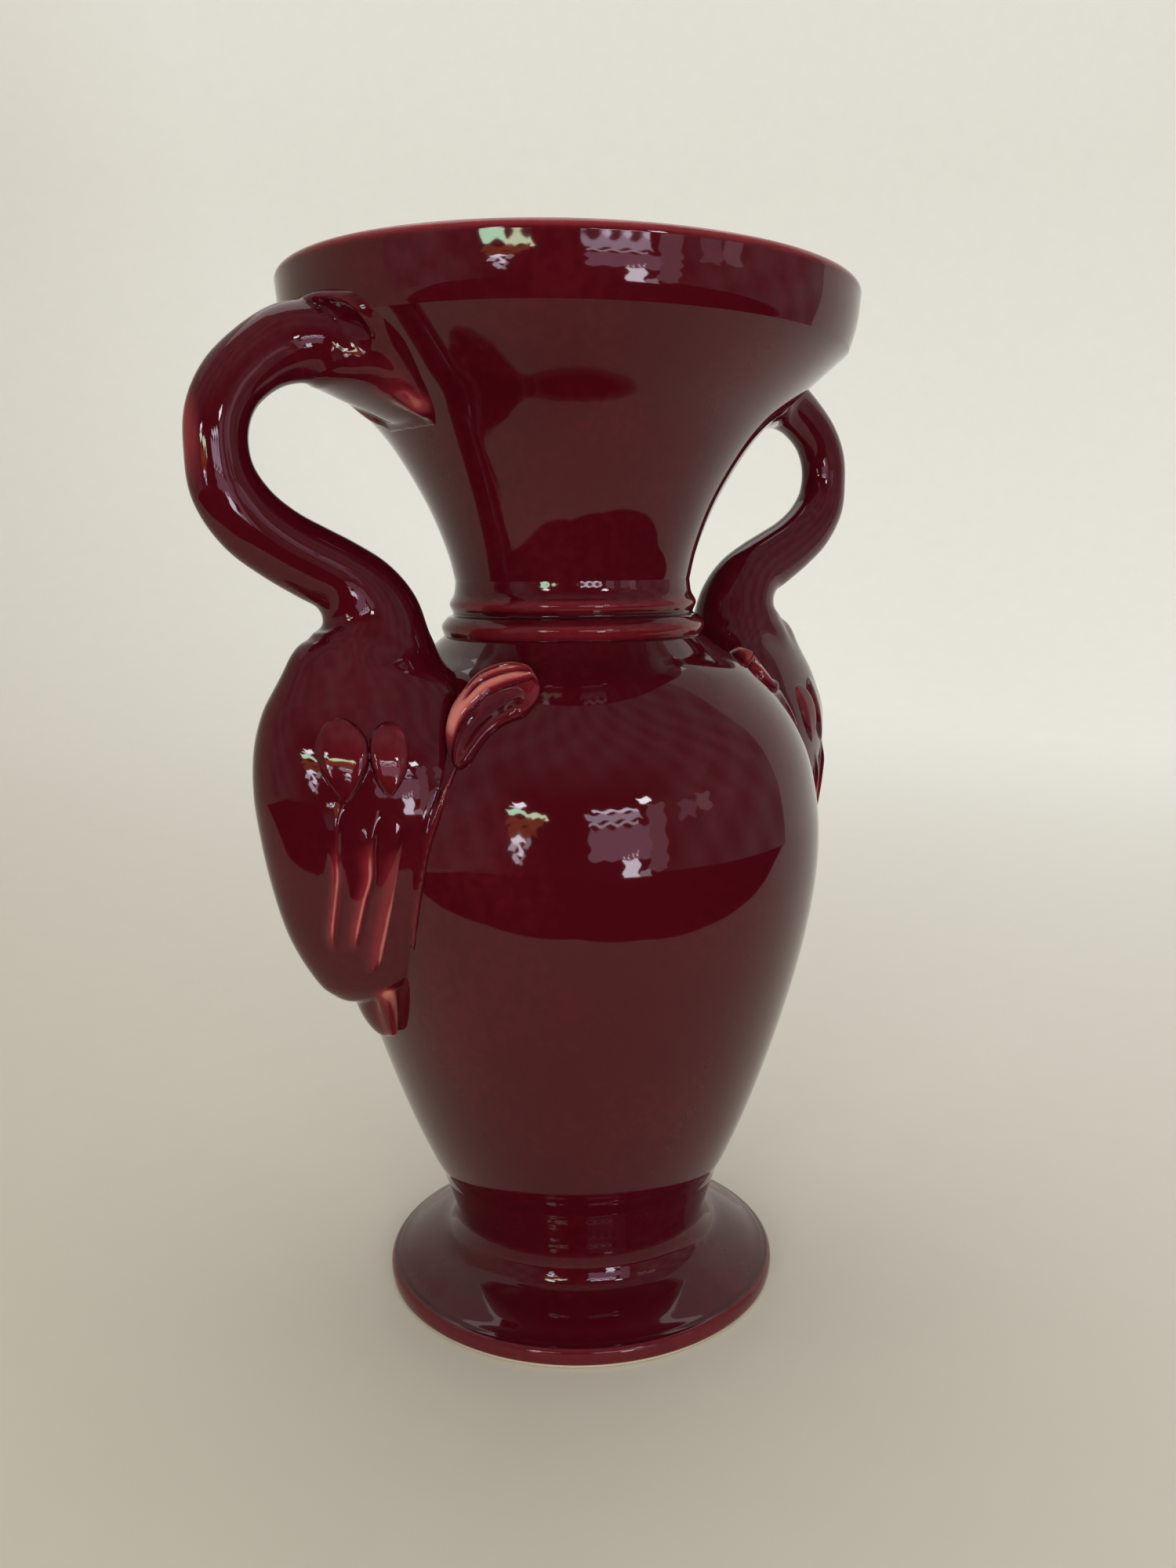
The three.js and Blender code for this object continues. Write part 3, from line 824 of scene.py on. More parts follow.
def wing_place(s, t):
    """Share along the swan and angle round it of a place on the wing."""
    spread = between(*WING_SPREAD, s) * np.sqrt(np.maximum(0.1, 1 - (2 * s - 1) ** 6))
    return between(*WING_PLACE, s), between(*WING_TURN, s) + t * spread


def wing_surface(side):
    """Surface of the swan's flank under the wing, by share down the wing and across it."""
    skin = loft_skin(swan_stations())

    def surface(s, t):
        share, angle = wing_place(s, t)
        angle = np.radians(angle) * side
        step = 0.004
        point = skin(share, angle)
        along = skin(share + step, angle) - point
        round_ = skin(share, angle + step * side) - point
        normal = np.cross(along, round_) * -side
        return point, normal / np.linalg.norm(normal, axis=-1)[..., None]

    return surface


# Lines of the wing, by height below the top of the body in mm and angle round the swan in degrees;
# a lobe's last number is how much lower its outer side lies
LOBES = (
    ((15.4, 33), (56.5, 58.5), 12.6, 0.6),
    ((16, 32), (79.5, 77), 9.6, 0.2),
)
FEATHERS = (
    ((31, 37, 43, 48.8, 54, 60, 66.5), (58, 54.5, 53, 52.5, 50, 46, 41.5)),
    ((34, 41.8, 46, 49.8, 54, 60, 67), (72, 68.5, 68, 67.5, 64.5, 60.5, 55.5)),
    ((35, 44, 49, 53, 59, 66, 74.5), (85, 82.5, 81, 79.5, 76.5, 73, 69)),
)
MM_PER_DEGREE = 0.44


def wing_frame(s, t):
    """Drop below the top of the body in mm, and angle in degrees, of places on the wing."""
    share, angle = wing_place(s, t)
    top = heights()["body_top"]
    drop = (top - catmull(swan_stations()[:, :2], share)[..., 1]) / MM
    return drop, angle


def lobe_shape(drop, angle):
    """Two lobes, round at the top and drawn to a point below, each from 0 at its edge to 1."""
    best = np.zeros_like(drop)
    for (high, low), (at_top, at_tip), wide, lean in LOBES:
        q = np.clip((low - drop) / (low - high), 1e-4, 1 - 1e-4)
        half = wide * np.sin(math.pi * q**1.55) ** 0.5
        across = (angle - between(at_tip, at_top, q)) / np.maximum(half, 0.2)
        inside = (drop > high) & (drop < low)
        dome = np.clip(1 - np.abs(across) ** 5, 0, 1) * np.sin(math.pi * q**1.3) ** 0.4
        across = np.clip(across, -1, 1)
        dome = dome * (1 - lean * (1 - across) / 2 - 0.25 * (1 - across**2))
        best = np.maximum(best, np.where(inside, dome, 0))
    return best


def feather_crests(drop, angle):
    """Distance from the crest of each feather in mm, and how strongly the feather stands there."""
    crests = []
    for drops, angles in FEATHERS:
        at = np.interp(drop, drops, np.linspace(0, 1, len(drops)))
        crest = catmull(np.array(angles)[:, None], at)[..., 0]
        stands = smoothstep(drop - drops[0], 0, 9) * smoothstep(drops[-1] - drop, -1, 6)
        crests.append(((angle - crest) * MM_PER_DEGREE, stands))
    return crests


def feather_shape(drop, angle):
    """Ridges with a steep side and a long soft one, from 0 beside them to 1 on the crest."""
    best = np.zeros_like(drop)
    for (aside, stands), soft in zip(feather_crests(drop, angle), (2.2, 2.4, 3.4)):
        side = np.where(aside > 0, 0.9, soft)
        best = np.maximum(best, np.exp(-((aside / side) ** 2)) * stands)
    return best


def wing_relief(s, t):
    w = swan_sizes()
    edge = (1 - np.abs(t) ** 5) * (1 - np.abs(2 * s - 1) ** 12)
    drop, angle = wing_frame(s, t)
    rise = w.wing_lift * lobe_shape(drop, angle) + w.feather_lift * feather_shape(drop, angle)
    return -0.45 * MM + edge * (0.45 * MM + rise)


def wing_shade(s, t):
    """The glaze breaks along the feathers' lower crests, in a thin line with a soft glow beside it."""
    drop, angle = wing_frame(s, t)
    edge = smoothstep(1 - np.abs(t), 0, 0.12) * smoothstep(1 - np.abs(2 * s - 1), 0, 0.03)
    shade = np.zeros_like(drop)
    looks = ((0.42, 1.2, 41), (0.5, 1.5, 40), (0.85, 2.6, 42))
    for (aside, stands), (line, glow, low) in zip(feather_crests(drop, angle), looks):
        fade = stands * smoothstep(drop, low, low + 7)
        shade = np.maximum(shade, 0.72 * fade * np.exp(-((aside / line) ** 2)))
        shade = np.maximum(shade, 0.4 * fade * np.exp(-(((aside + 0.3) / glow) ** 2)))
    knob = np.exp(-(((drop - 18.2) / 1.6) ** 2) - ((angle - 85) / 3.5) ** 2)
    shade = np.maximum(shade, 0.22 * lobe_shape(drop, angle))
    return edge * np.maximum(shade, 0.45 * knob)


PLUME_OUTER = (
    (0.94, 0.88), (0.81, 0.765), (0.71, 0.63), (0.645, 0.49), (0.63, 0.37), (0.62, 0.26), (0.68, 0.195),
    (0.79, 0.178), (0.93, 0.2), (1.12, 0.26),
)
PLUME_INNER = (
    (0.96, 0.885), (1.01, 0.83), (1.035, 0.75), (1.06, 0.66), (1.1, 0.59), (1.16, 0.545), (1.23, 0.51),
    (1.25, 0.45), (1.24, 0.38), (1.17, 0.29),
)


def plume_surface(side):
    w, h = swan_sizes(), heights()

    def surface(s, t):
        outer, inner = catmull(PLUME_OUTER, s, False), catmull(PLUME_INNER, s, False)
        place = between(outer, inner, ((t + 1) / 2)[..., None])
        z = h["body_top"] - w.plume_length * place[..., 1]
        return on_wall(side * w.plume_length * place[..., 0] / wall_radius(z), z)

    return surface


def ridge(x, middle, width):
    """A soft ridge across a place, 1 along its middle."""
    return np.exp(-(((x - middle) / width) ** 2))


def plume_shape(s, t):
    """A round roll with two grooves on the outer side, and a dished plate with a rim and a knob."""
    low = between(-0.25, 0, s)
    across = (t - (low - 1) / 2) / ((1 + low) / 2)
    roll = np.sqrt(np.clip(1 - across**2, 0, 1))
    grooves = np.zeros_like(s)
    for middle, start, end in ((-0.3, 0.42, 0.9), (0.24, 0.38, 0.99)):
        there = smoothstep(s, start, start + 0.12) * smoothstep(-s, -end, -end + 0.1)
        grooves = np.maximum(grooves, ridge(across - 0.25 * (s - 0.7), middle, 0.13) * there)
    plate = smoothstep(t, low - 0.1, low + 0.12)
    dish = ridge(t, between(0.4, 0.52, s), 0.24) * smoothstep(s, 0.12, 0.3) * smoothstep(-s, -0.8, -0.6)
    rim = ridge(t, between(0.06, 0.2, s), 0.06) * smoothstep(s, 0.05, 0.15) * smoothstep(-s, -0.5, -0.35)
    knob = ridge(s, 0.66, 0.05) * ridge(t, 0.74, 0.2)
    return roll, grooves, plate, dish, rim, knob


def plume_relief(s, t):
    w = swan_sizes()
    edge = np.sqrt(np.clip(1 - np.abs(t) ** 10, 0, 1)) * np.clip(s / 0.04, 0, 1) ** 0.5
    edge = edge * smoothstep(1 - s, 0, 0.08)
    roll, grooves, plate, dish, rim, knob = plume_shape(s, t)
    height = between(0.55, 1, smoothstep(s, 0.05, 0.4))
    level = (1 - plate) * (0.12 + 0.78 * height * roll - 0.34 * grooves)
    level = level + plate * (0.5 - 0.2 * dish + 0.12 * rim + 0.2 * knob)
    return -0.4 * MM + edge * (0.4 * MM + w.plume_lift * level)


def plume_shade(s, t):
    roll, grooves, plate, dish, rim, knob = plume_shape(s, t)
    edges = smoothstep(1 - np.abs(t), 0, 0.03) * smoothstep(1 - s, 0, 0.04)
    crest = (1 - plate) * smoothstep(roll, 0.2, 0.85) * between(0.82, 0.02, grooves)
    crest *= smoothstep(s, 0.12, 0.28) * between(1, 0.62, smoothstep(s, 0.75, 0.98))
    inner = plate * (0.12 + 0.2 * smoothstep(s, 0.72, 0.9) + 0.14 * rim - 0.12 * dish)
    return np.clip(np.maximum(crest, inner), 0, 1) * edges


# Materials

def add_node(tree, kind, place, feeds=None, **values):
    """A node with its values set and its inputs linked from the sockets in feeds."""
    node = tree.nodes.new(kind)
    node.location = place
    for key, value in values.items():
        if hasattr(node, key):
            setattr(node, key, value)
        else:
            node.inputs[key.replace("_", " ")].default_value = value
    for key, socket in (feeds or {}).items():
        tree.links.new(socket, node.inputs[key])
    return node


def ranged(tree, place, value, **ends):
    """A socket's value carried from one range to another."""
    return add_node(tree, "ShaderNodeMapRange", place, {"Value": value}, **ends).outputs["Result"]


def fresh_material(name):
    material = bpy.data.materials.new(name)
    material.use_nodes = True
    material.node_tree.nodes.clear()
    return material


# Heights between which the glaze ends and the clay of the foot is bare
GLAZE_END, CLAY_START = 1.5 * MM, 1 * MM


def glaze(name, bare_foot):
    """Deep red glaze that pools dark in hollows and breaks pink on ridges."""
    c = colours()
    material = fresh_material(name)
    tree = material.node_tree
    where = add_node(tree, "ShaderNodeTexCoord", (-1300, 0)).outputs["Object"]
    breaks = add_node(tree, "ShaderNodeAttribute", (-1300, 300), attribute_name="glaze_break")
    cloud, fine, ripple = [
        add_node(
            tree, "ShaderNodeTexNoise", (-1050, row), {"Vector": where}, Scale=scale, Detail=detail
        ).outputs["Fac"]
        for row, scale, detail in ((80, 30.0, 1.5), (-160, 420.0, 1.0), (-420, 42.0, 0.5))
    ]
    drift = ranged(tree, (-850, 80), cloud, From_Min=0.3, From_Max=0.7, To_Min=-0.018, To_Max=0.018)
    speck = ranged(tree, (-850, -160), fine, From_Min=0.35, From_Max=0.65, To_Min=-0.01, To_Max=0.01)
    drifted = add_node(
        tree, "ShaderNodeMath", (-650, 200), {0: breaks.outputs["Fac"], 1: drift}, operation="ADD"
    )
    thinness = add_node(
        tree, "ShaderNodeMath", (-450, 200), {0: drifted.outputs[0], 1: speck}, operation="ADD"
    )
    ramp = add_node(tree, "ShaderNodeValToRGB", (-250, 250), {"Fac": thinness.outputs[0]})
    stops = ramp.color_ramp.elements
    stops[0].position, stops[0].color = 0.15, (*c.pool, 1)
    stops[1].position, stops[1].color = 0.5, (*c.body, 1)
    for position, shade in ((0.72, c.thin), (0.93, c.broken)):
        stops.new(position).color = (*shade, 1)
    tint = ramp.outputs["Color"]
    roughness = ranged(tree, (0, -100), cloud, To_Min=0.03, To_Max=0.06)
    bump = add_node(tree, "ShaderNodeBump", (0, -350), {"Height": ripple}, Strength=0.25, Distance=0.0003)
    grain = add_node(
        tree, "ShaderNodeBump", (150, -350), {"Height": fine, "Normal": bump.outputs["Normal"]},
        Strength=0.01, Distance=0.00005,
    )
    if bare_foot:
        place = add_node(tree, "ShaderNodeSeparateXYZ", (-850, 520), {0: where})
        bare = ranged(tree, (-650, 520), place.outputs["Z"], From_Min=GLAZE_END, From_Max=CLAY_START)
        tint, roughness = [
            add_node(
                tree, "ShaderNodeMix", (50, row), {"Factor": bare, "A": glazed}, data_type=kind, B=clay
            ).outputs["Result"]
            for row, kind, glazed, clay in (
                (380, "RGBA", tint, (*c.clay, 1)), (0, "FLOAT", roughness, 0.85),
            )
        ]
    shader = add_node(
        tree, "ShaderNodeBsdfPrincipled", (300, 100),
        {"Base Color": tint, "Roughness": roughness, "Normal": grain.outputs["Normal"]},
        IOR=1.5, Specular_IOR_Level=0.32, Coat_Weight=0.05, Coat_Roughness=0.02,
    )
    add_node(tree, "ShaderNodeOutputMaterial", (600, 100), {"Surface": shader.outputs[0]})
    return material


def paper():
    """Pale paper with painted shade: warmer and darker in front of the vase and to its left than behind
    it.
    """
    material = fresh_material("paper")
    tree = material.node_tree
    where = add_node(tree, "ShaderNodeTexCoord", (-1100, 0)).outputs["Object"]
    fibre = add_node(tree, "ShaderNodeTexNoise", (-700, -200), {"Vector": where}, Scale=60.0, Detail=5.0)
    # Painted shade: the paper runs from its shaded colour in front of the vase and to its left to its lit
    # colour behind it
    ahead = Matrix.Rotation(VIEW_AZIMUTH, 3, "Z") @ Vector((0.8, 1, 0.25))
    along = add_node(tree, "ShaderNodeVectorMath", (-900, 0), {0: where}, operation="DOT_PRODUCT")
    along.inputs[1].default_value = ahead
    far = ranged(tree, (-700, 0), along.outputs["Value"], From_Min=-0.15, From_Max=1.3)
    tone = add_node(
        tree, "ShaderNodeMix", (-450, 0), {"Factor": far}, data_type="RGBA",
        A=(*colours().paper_painted_shade, 1), B=(*colours().paper, 1),
    )
    fleck = add_node(
        tree, "ShaderNodeMix", (-200, 0), {"A": tone.outputs["Result"], "B": fibre.outputs["Fac"]},
        data_type="RGBA", blend_type="MULTIPLY", Factor=0.035,
    )
    shader = add_node(
        tree, "ShaderNodeBsdfPrincipled", (0, 0), {"Base Color": fleck.outputs["Result"]},
        Roughness=0.75, Specular_IOR_Level=0.2,
    )
    add_node(tree, "ShaderNodeOutputMaterial", (300, 0), {"Surface": shader.outputs[0]})
    return material


# Operators

class VASE_OT_foot(bpy.types.Operator):
    """Turn the spreading foot with its hollow underside"""

    bl_idname = "vase.foot"
    bl_label = "Foot"

    def execute(self, context):
        s, h = sizes(), heights()
        inner_ring = s.foot_radius - 1.3 * MM - s.foot_ring
        roof = h["waist"] - s.floor
        hollow = catmull(
            [
                [s.waist_radius - s.wall - 4 * MM, roof],
                [s.waist_radius - s.wall, roof - 3.2 * MM],
                [between(s.waist_radius - s.wall, inner_ring, 0.55), s.foot_edge * 0.95],
                [inner_ring - 2.2 * MM, s.foot_edge * 0.42],
                [inner_ring, 0],
            ],
            np.linspace(0, 1, 25),
            carried_on=False,
        )
        profile = np.vstack([[[0, roof]], hollow, foot_outline(), [[0, h["waist"]]]])

        def thin_edge(radius, z):
            return 0.16 * smoothstep(radius, s.foot_radius - 2.4 * MM, s.foot_radius - 0.6 * MM)

        mesh, shade = turned("foot_turned", profile, thin_edge)
        keep(mesh, "foot", shade=shade, bare_foot=True)
        return {"FINISHED"}


class VASE_OT_body(bpy.types.Operator):
    """Turn the hollow belly with its floor"""

    bl_idname = "vase.body"
    bl_label = "Belly"

    def execute(self, context):
        s, h = sizes(), heights()
        outer = belly_outline()
        inner = moved(outer, -s.wall)
        z = inner[:, 1]
        inner = inner[(z > h["waist"] + s.floor + 2 * MM) & (z < h["body_top"] - s.wall)]
        profile = np.vstack([
            [[0, h["waist"]]],
            outer,
            [[s.neck_radius - s.wall + 1.6 * MM, h["body_top"]]],
            inner[::-1],
            [[s.waist_radius - s.wall - 3 * MM, h["waist"] + s.floor]],
            [[0, h["waist"] + s.floor]],
        ])
        mesh, _ = turned("belly_shell", profile)
        keep(mesh, "body")
        return {"FINISHED"}


class VASE_OT_collar(bpy.types.Operator):
    """Turn the double bead between shoulder and neck"""

    bl_idname = "vase.collar"
    bl_label = "Collar"

    def execute(self, context):
        s, h = sizes(), heights()
        bore = s.neck_radius - s.wall
        profile = np.vstack([
            collar_outline(),
            [[bore, h["neck_foot"]], [bore, h["groove"]], [bore + 1.6 * MM, h["body_top"]]],
        ])

        def crests(radius, z):
            lower = smoothstep(radius, s.bead_radius - 0.9 * MM, s.bead_radius - 0.1 * MM)
            upper = smoothstep(radius, s.small_bead_radius - 0.8 * MM, s.small_bead_radius)
            return 0.2 * np.maximum(lower, upper * (z > h["groove"]))

        mesh, shade = turned("collar_beads", profile, crests)
        keep(mesh, "collar", shade=shade)
        return {"FINISHED"}


def neck_inner():
    s, h = sizes(), heights()
    inner = moved(neck_outline(), -s.wall)
    inner[0, 1], inner[-1, 1] = h["neck_foot"], h["band_foot"]
    kept = (inner[:, 1] > h["neck_foot"]) & (inner[:, 1] < h["band_foot"])
    return np.vstack([inner[:1], inner[kept], inner[-1:]])


class VASE_OT_neck(bpy.types.Operator):
    """Turn the trumpet neck"""

    bl_idname = "vase.neck"
    bl_label = "Neck"

    def execute(self, context):
        profile = np.vstack([neck_outline(), neck_inner()[::-1]])
        mesh, _ = turned("neck_trumpet", profile)
        keep(mesh, "neck")
        return {"FINISHED"}


class VASE_OT_rim_band(bpy.types.Operator):
    """Turn the upright rim band and its lip"""

    bl_idname = "vase.rim_band"
    bl_label = "Rim band"

    def execute(self, context):
        s, h = sizes(), heights()
        lip = s.lip
        flat = lip * 0.75
        turn = np.linspace(math.pi / 2, math.pi, 7)
        radius = s.rim_radius - s.wall + flat + flat * np.cos(turn)
        inner_lip = np.column_stack([radius, h["rim_top"] - lip + lip * np.sin(turn)])
        profile = np.vstack([band_outline(), inner_lip, neck_inner()[-1:]])

        def thin_lip(radius, z):
            return 0.5 * smoothstep(z, h["rim_top"] - 2.5 * MM, h["rim_top"] - 0.8 * MM)

        mesh, shade = turned("rim_band_lip", profile, thin_lip)
        keep(mesh, "rim_band", shade=shade)
        return {"FINISHED"}


def half_turn(mesh):
    mesh.transform(Matrix.Rotation(math.pi, 4, "Z"))


class VASE_OT_swans(bpy.types.Operator):
    """Cast both swan handles"""

    bl_idname = "vase.swans"
    bl_label = "Swan handles"

    def execute(self, context):
        first = swan_mesh("swan_right_cast")
        second = first.copy()
        second.name = "swan_left_cast"
        half_turn(second)
        shade = swan_shade(coordinates(first))
        for mesh, node in ((first, "swan_right"), (second, "swan_left")):
            set_coordinates(mesh, sagged(coordinates(mesh)))
            keep(mesh, node, breaks=(250, 1200), strength=0.15, shade=shade, sharp=80)
        return {"FINISHED"}


# Name of each flank, its side of the handle's plane, and whether it is on the swan at the left
FLANKS = (
    ("right_back", 1, False),
    ("right_front", -1, False),
    ("left_front", 1, True),
    ("left_back", -1, True),
)


def press_sprigs(kind, surface, relief, shade, steps, rows):
    """Presses the same piece of relief on the four flanks of the two swans."""
    for flank, side, left in FLANKS:
        node = kind + "_" + flank
        mesh, shades = sprig(node + "_relief", surface(side), relief, steps, rows, shade)
        if left:
            half_turn(mesh)
        set_coordinates(mesh, sagged(coordinates(mesh)))
        keep(mesh, node, breaks=(500, 2500), strength=0.3, shade=shades, sharp=80)


class VASE_OT_wings(bpy.types.Operator):
    """Press the wings on the swans' flanks"""

    bl_idname = "vase.wings"
    bl_label = "Wings"

    def execute(self, context):
        press_sprigs("wing", wing_surface, wing_relief, wing_shade, 220, 130)
        return {"FINISHED"}


class VASE_OT_plumes(bpy.types.Operator):
    """Press the plumes on the shoulder beside the swans"""

    bl_idname = "vase.plumes"
    bl_label = "Plumes"

    def execute(self, context):
        press_sprigs("plume", plume_surface, plume_relief, plume_shade, 180, 110)
        return {"FINISHED"}


# The photograph's camera, fitted in heights of the vase: its place, its turn in radians and its lens
VIEW_AZIMUTH = math.radians(-36)
PHOTO_HEIGHT = 0.254
CAMERA_DISTANCE, CAMERA_HEIGHT = 1.2797 * PHOTO_HEIGHT, 0.7454 * PHOTO_HEIGHT
PITCH, YAW, ROLL_ANGLE = math.radians(9.919), math.radians(-0.586), math.radians(-0.656)
SENSOR, FOCAL_PIXELS, PHOTO_PIXELS = 36, 1620, 2000
# Height that the studio's cards and lamps are set round, and how far off they stand
AIM = 0.13
PANE_DISTANCE, LAMP_DISTANCE, CARD_DISTANCE, OVERHEAD_DISTANCE = 0.75, 0.8, 0.85, 1.75


def camera_axes():
    """Right, up and forward of the photograph's camera."""
    side = Vector((math.cos(YAW), math.sin(YAW), 0))
    ahead = Vector((-math.sin(YAW), math.cos(YAW), 0))
    forward = ahead * math.cos(PITCH) - Vector((0, 0, 1)) * math.sin(PITCH)
    above = ahead * math.sin(PITCH) + Vector((0, 0, 1)) * math.cos(PITCH)
    right = side * math.cos(ROLL_ANGLE) + above * math.sin(ROLL_ANGLE)
    up = -side * math.sin(ROLL_ANGLE) + above * math.cos(ROLL_ANGLE)
    return right, up, forward


def area_light(name, place, target, width, height, power, tint):
    """A rectangular lamp that shines from a place at a target."""
    data = bpy.data.lights.new(name, "AREA")
    data.shape = "RECTANGLE"
    data.size, data.size_y = width, height
    data.energy = power
    data.color = tint
    lamp = bpy.data.objects.new(name, data)
    lamp.location = place
    lamp.rotation_euler = (Vector(target) - Vector(place)).to_track_quat("-Z", "Y").to_euler()
    lamp.visible_camera = False
    bpy.context.scene.collection.objects.link(lamp)
    return lamp


def toward(azimuth, elevation, distance):
    """A place seen from the vase, by its azimuth from the camera and its elevation in degrees."""
    a, e = math.radians(azimuth), math.radians(elevation)
    local = Vector((math.sin(a) * math.cos(e), -math.cos(a) * math.cos(e), math.sin(e))) * distance
    return Matrix.Rotation(VIEW_AZIMUTH, 3, "Z") @ local + Vector((0, 0, AIM))


def card(name, bm, shade, spread=False):
    """A studio card that shows only in the glaze's reflections, in one tone or darkest ahead."""
    material = fresh_material(name)
    tree = material.node_tree
    peak = max(*shade, 1)
    tint = (*[value / peak for value in shade], 1)
    shader = add_node(tree, "ShaderNodeEmission", (0, 0), Color=tint, Strength=peak)
    add_node(tree, "ShaderNodeOutputMaterial", (200, 0), {"Surface": shader.outputs[0]})
    mesh = bpy.data.meshes.new(name)
    bm.to_mesh(mesh)
    bm.free()
    mesh.materials.append(material)
    if spread:
        tone = add_node(tree, "ShaderNodeAttribute", (-400, 0), attribute_name="room_tone")
        tree.links.new(tone.outputs["Fac"], shader.inputs["Strength"])
        co = coordinates(mesh) - np.array([0, 0, AIM])
        turn = np.array(Matrix.Rotation(-VIEW_AZIMUTH, 3, "Z"))
        local = co @ turn.T
        azimuth = np.degrees(np.arctan2(local[:, 0], -local[:, 1]))
        elevation = np.degrees(np.arcsin(local[:, 2] / np.linalg.norm(local, axis=1)))
        away = np.maximum(smoothstep(np.abs(azimuth - 3), 22, 52), smoothstep(elevation, 16, 48))
        wave = np.sin(azimuth * 0.31 + 1.3) * np.sin(elevation * 0.27 + azimuth * 0.11)
        layer = mesh.attributes.new("room_tone", "FLOAT", "POINT")
        layer.data.foreach_set("value", (0.02 + away * (0.3 + 0.12 * wave)).astype(np.float32))
    made = bpy.data.objects.new(name, mesh)
    bpy.context.scene.collection.objects.link(made)
    for ray in ("camera", "diffuse", "transmission", "volume_scatter", "shadow"):
        setattr(made, "visible_" + ray, False)


def dome_patch(left, right, low, high, distance, steps=(4, 4), wave=0):
    """A patch of a dome round the vase, between azimuths and elevations in degrees, or a wavy one."""
    bm = bmesh.new()
    bmesh.ops.create_grid(bm, x_segments=steps[0], y_segments=steps[1], size=1)
    for vert in bm.verts:
        azimuth = between(left, right, (vert.co.x + 1) / 2)
        elevation = between(low, high, (vert.co.y + 1) / 2)
        shift = wave * math.sin(elevation * 1.1 + left)
        elevation += wave * 0.7 * math.sin(azimuth * 0.9 + low)
        vert.co = toward(azimuth + shift, elevation, distance)
    return bm


# Panes of the two windows: left and right azimuth, low and high elevation in degrees, and their light
PANES = (
    (-27.6, -22.3, 15.2, 17.5, (26, 24, 26)),
    (-29, -23, 14.4, 15.0, (16, 14.5, 16.5)),
    (-30, -21.4, 11.6, 13.9, (12, 20, 14)),
    (-21.6, -12, 10.2, 12.4, (15, 18, 12)),
    (-29.4, -13, 7.6, 10.2, (2.4, 0.7, 0.25)),
    (-28.2, -16, 5.4, 7.7, (2, 0.6, 0.25)),
    (-27.2, -21.6, 3.6, 5.3, (19, 18, 20)),
    (-27.8, -24.9, 0.6, 3.5, (9, 8, 9.5)),
    (-24.6, -22.6, -0.6, 3.7, (16, 15, 17)),
    (-21.8, -19.6, 1.6, 5, (5, 4.4, 4.8)),
    (-26, -23.9, -3.4, 0.7, (9, 8, 9.5)),
    (-23, -21.8, -4.5, -0.5, (5, 4.4, 5)),
    (7.4, 27, 12.6, 13.9, (13, 12, 14)),
    (4.7, 28.5, 9.4, 12.0, (5.5, 4.6, 5.8)),
    (5.0, 26, 8.0, 8.8, (7, 6.2, 7.2)),
    (5.7, 32, -2.5, 7.4, (2.1, 1.4, 1.9)),
    (20, 26.5, -15, 0.4, (15, 14, 16)),
    (27, 32, -14, -7, (4.5, 3.6, 4)),
    (27.5, 33, 16, 19, (26, 26, 27)),
    (31, 39, -8, 15, (1.5, 1.0, 1.2)),
    (46, 54, 7, 14, (1.2, 0.8, 1.0)),
    (55, 62, 8, 16, (1.6, 1.1, 1.3)),
)


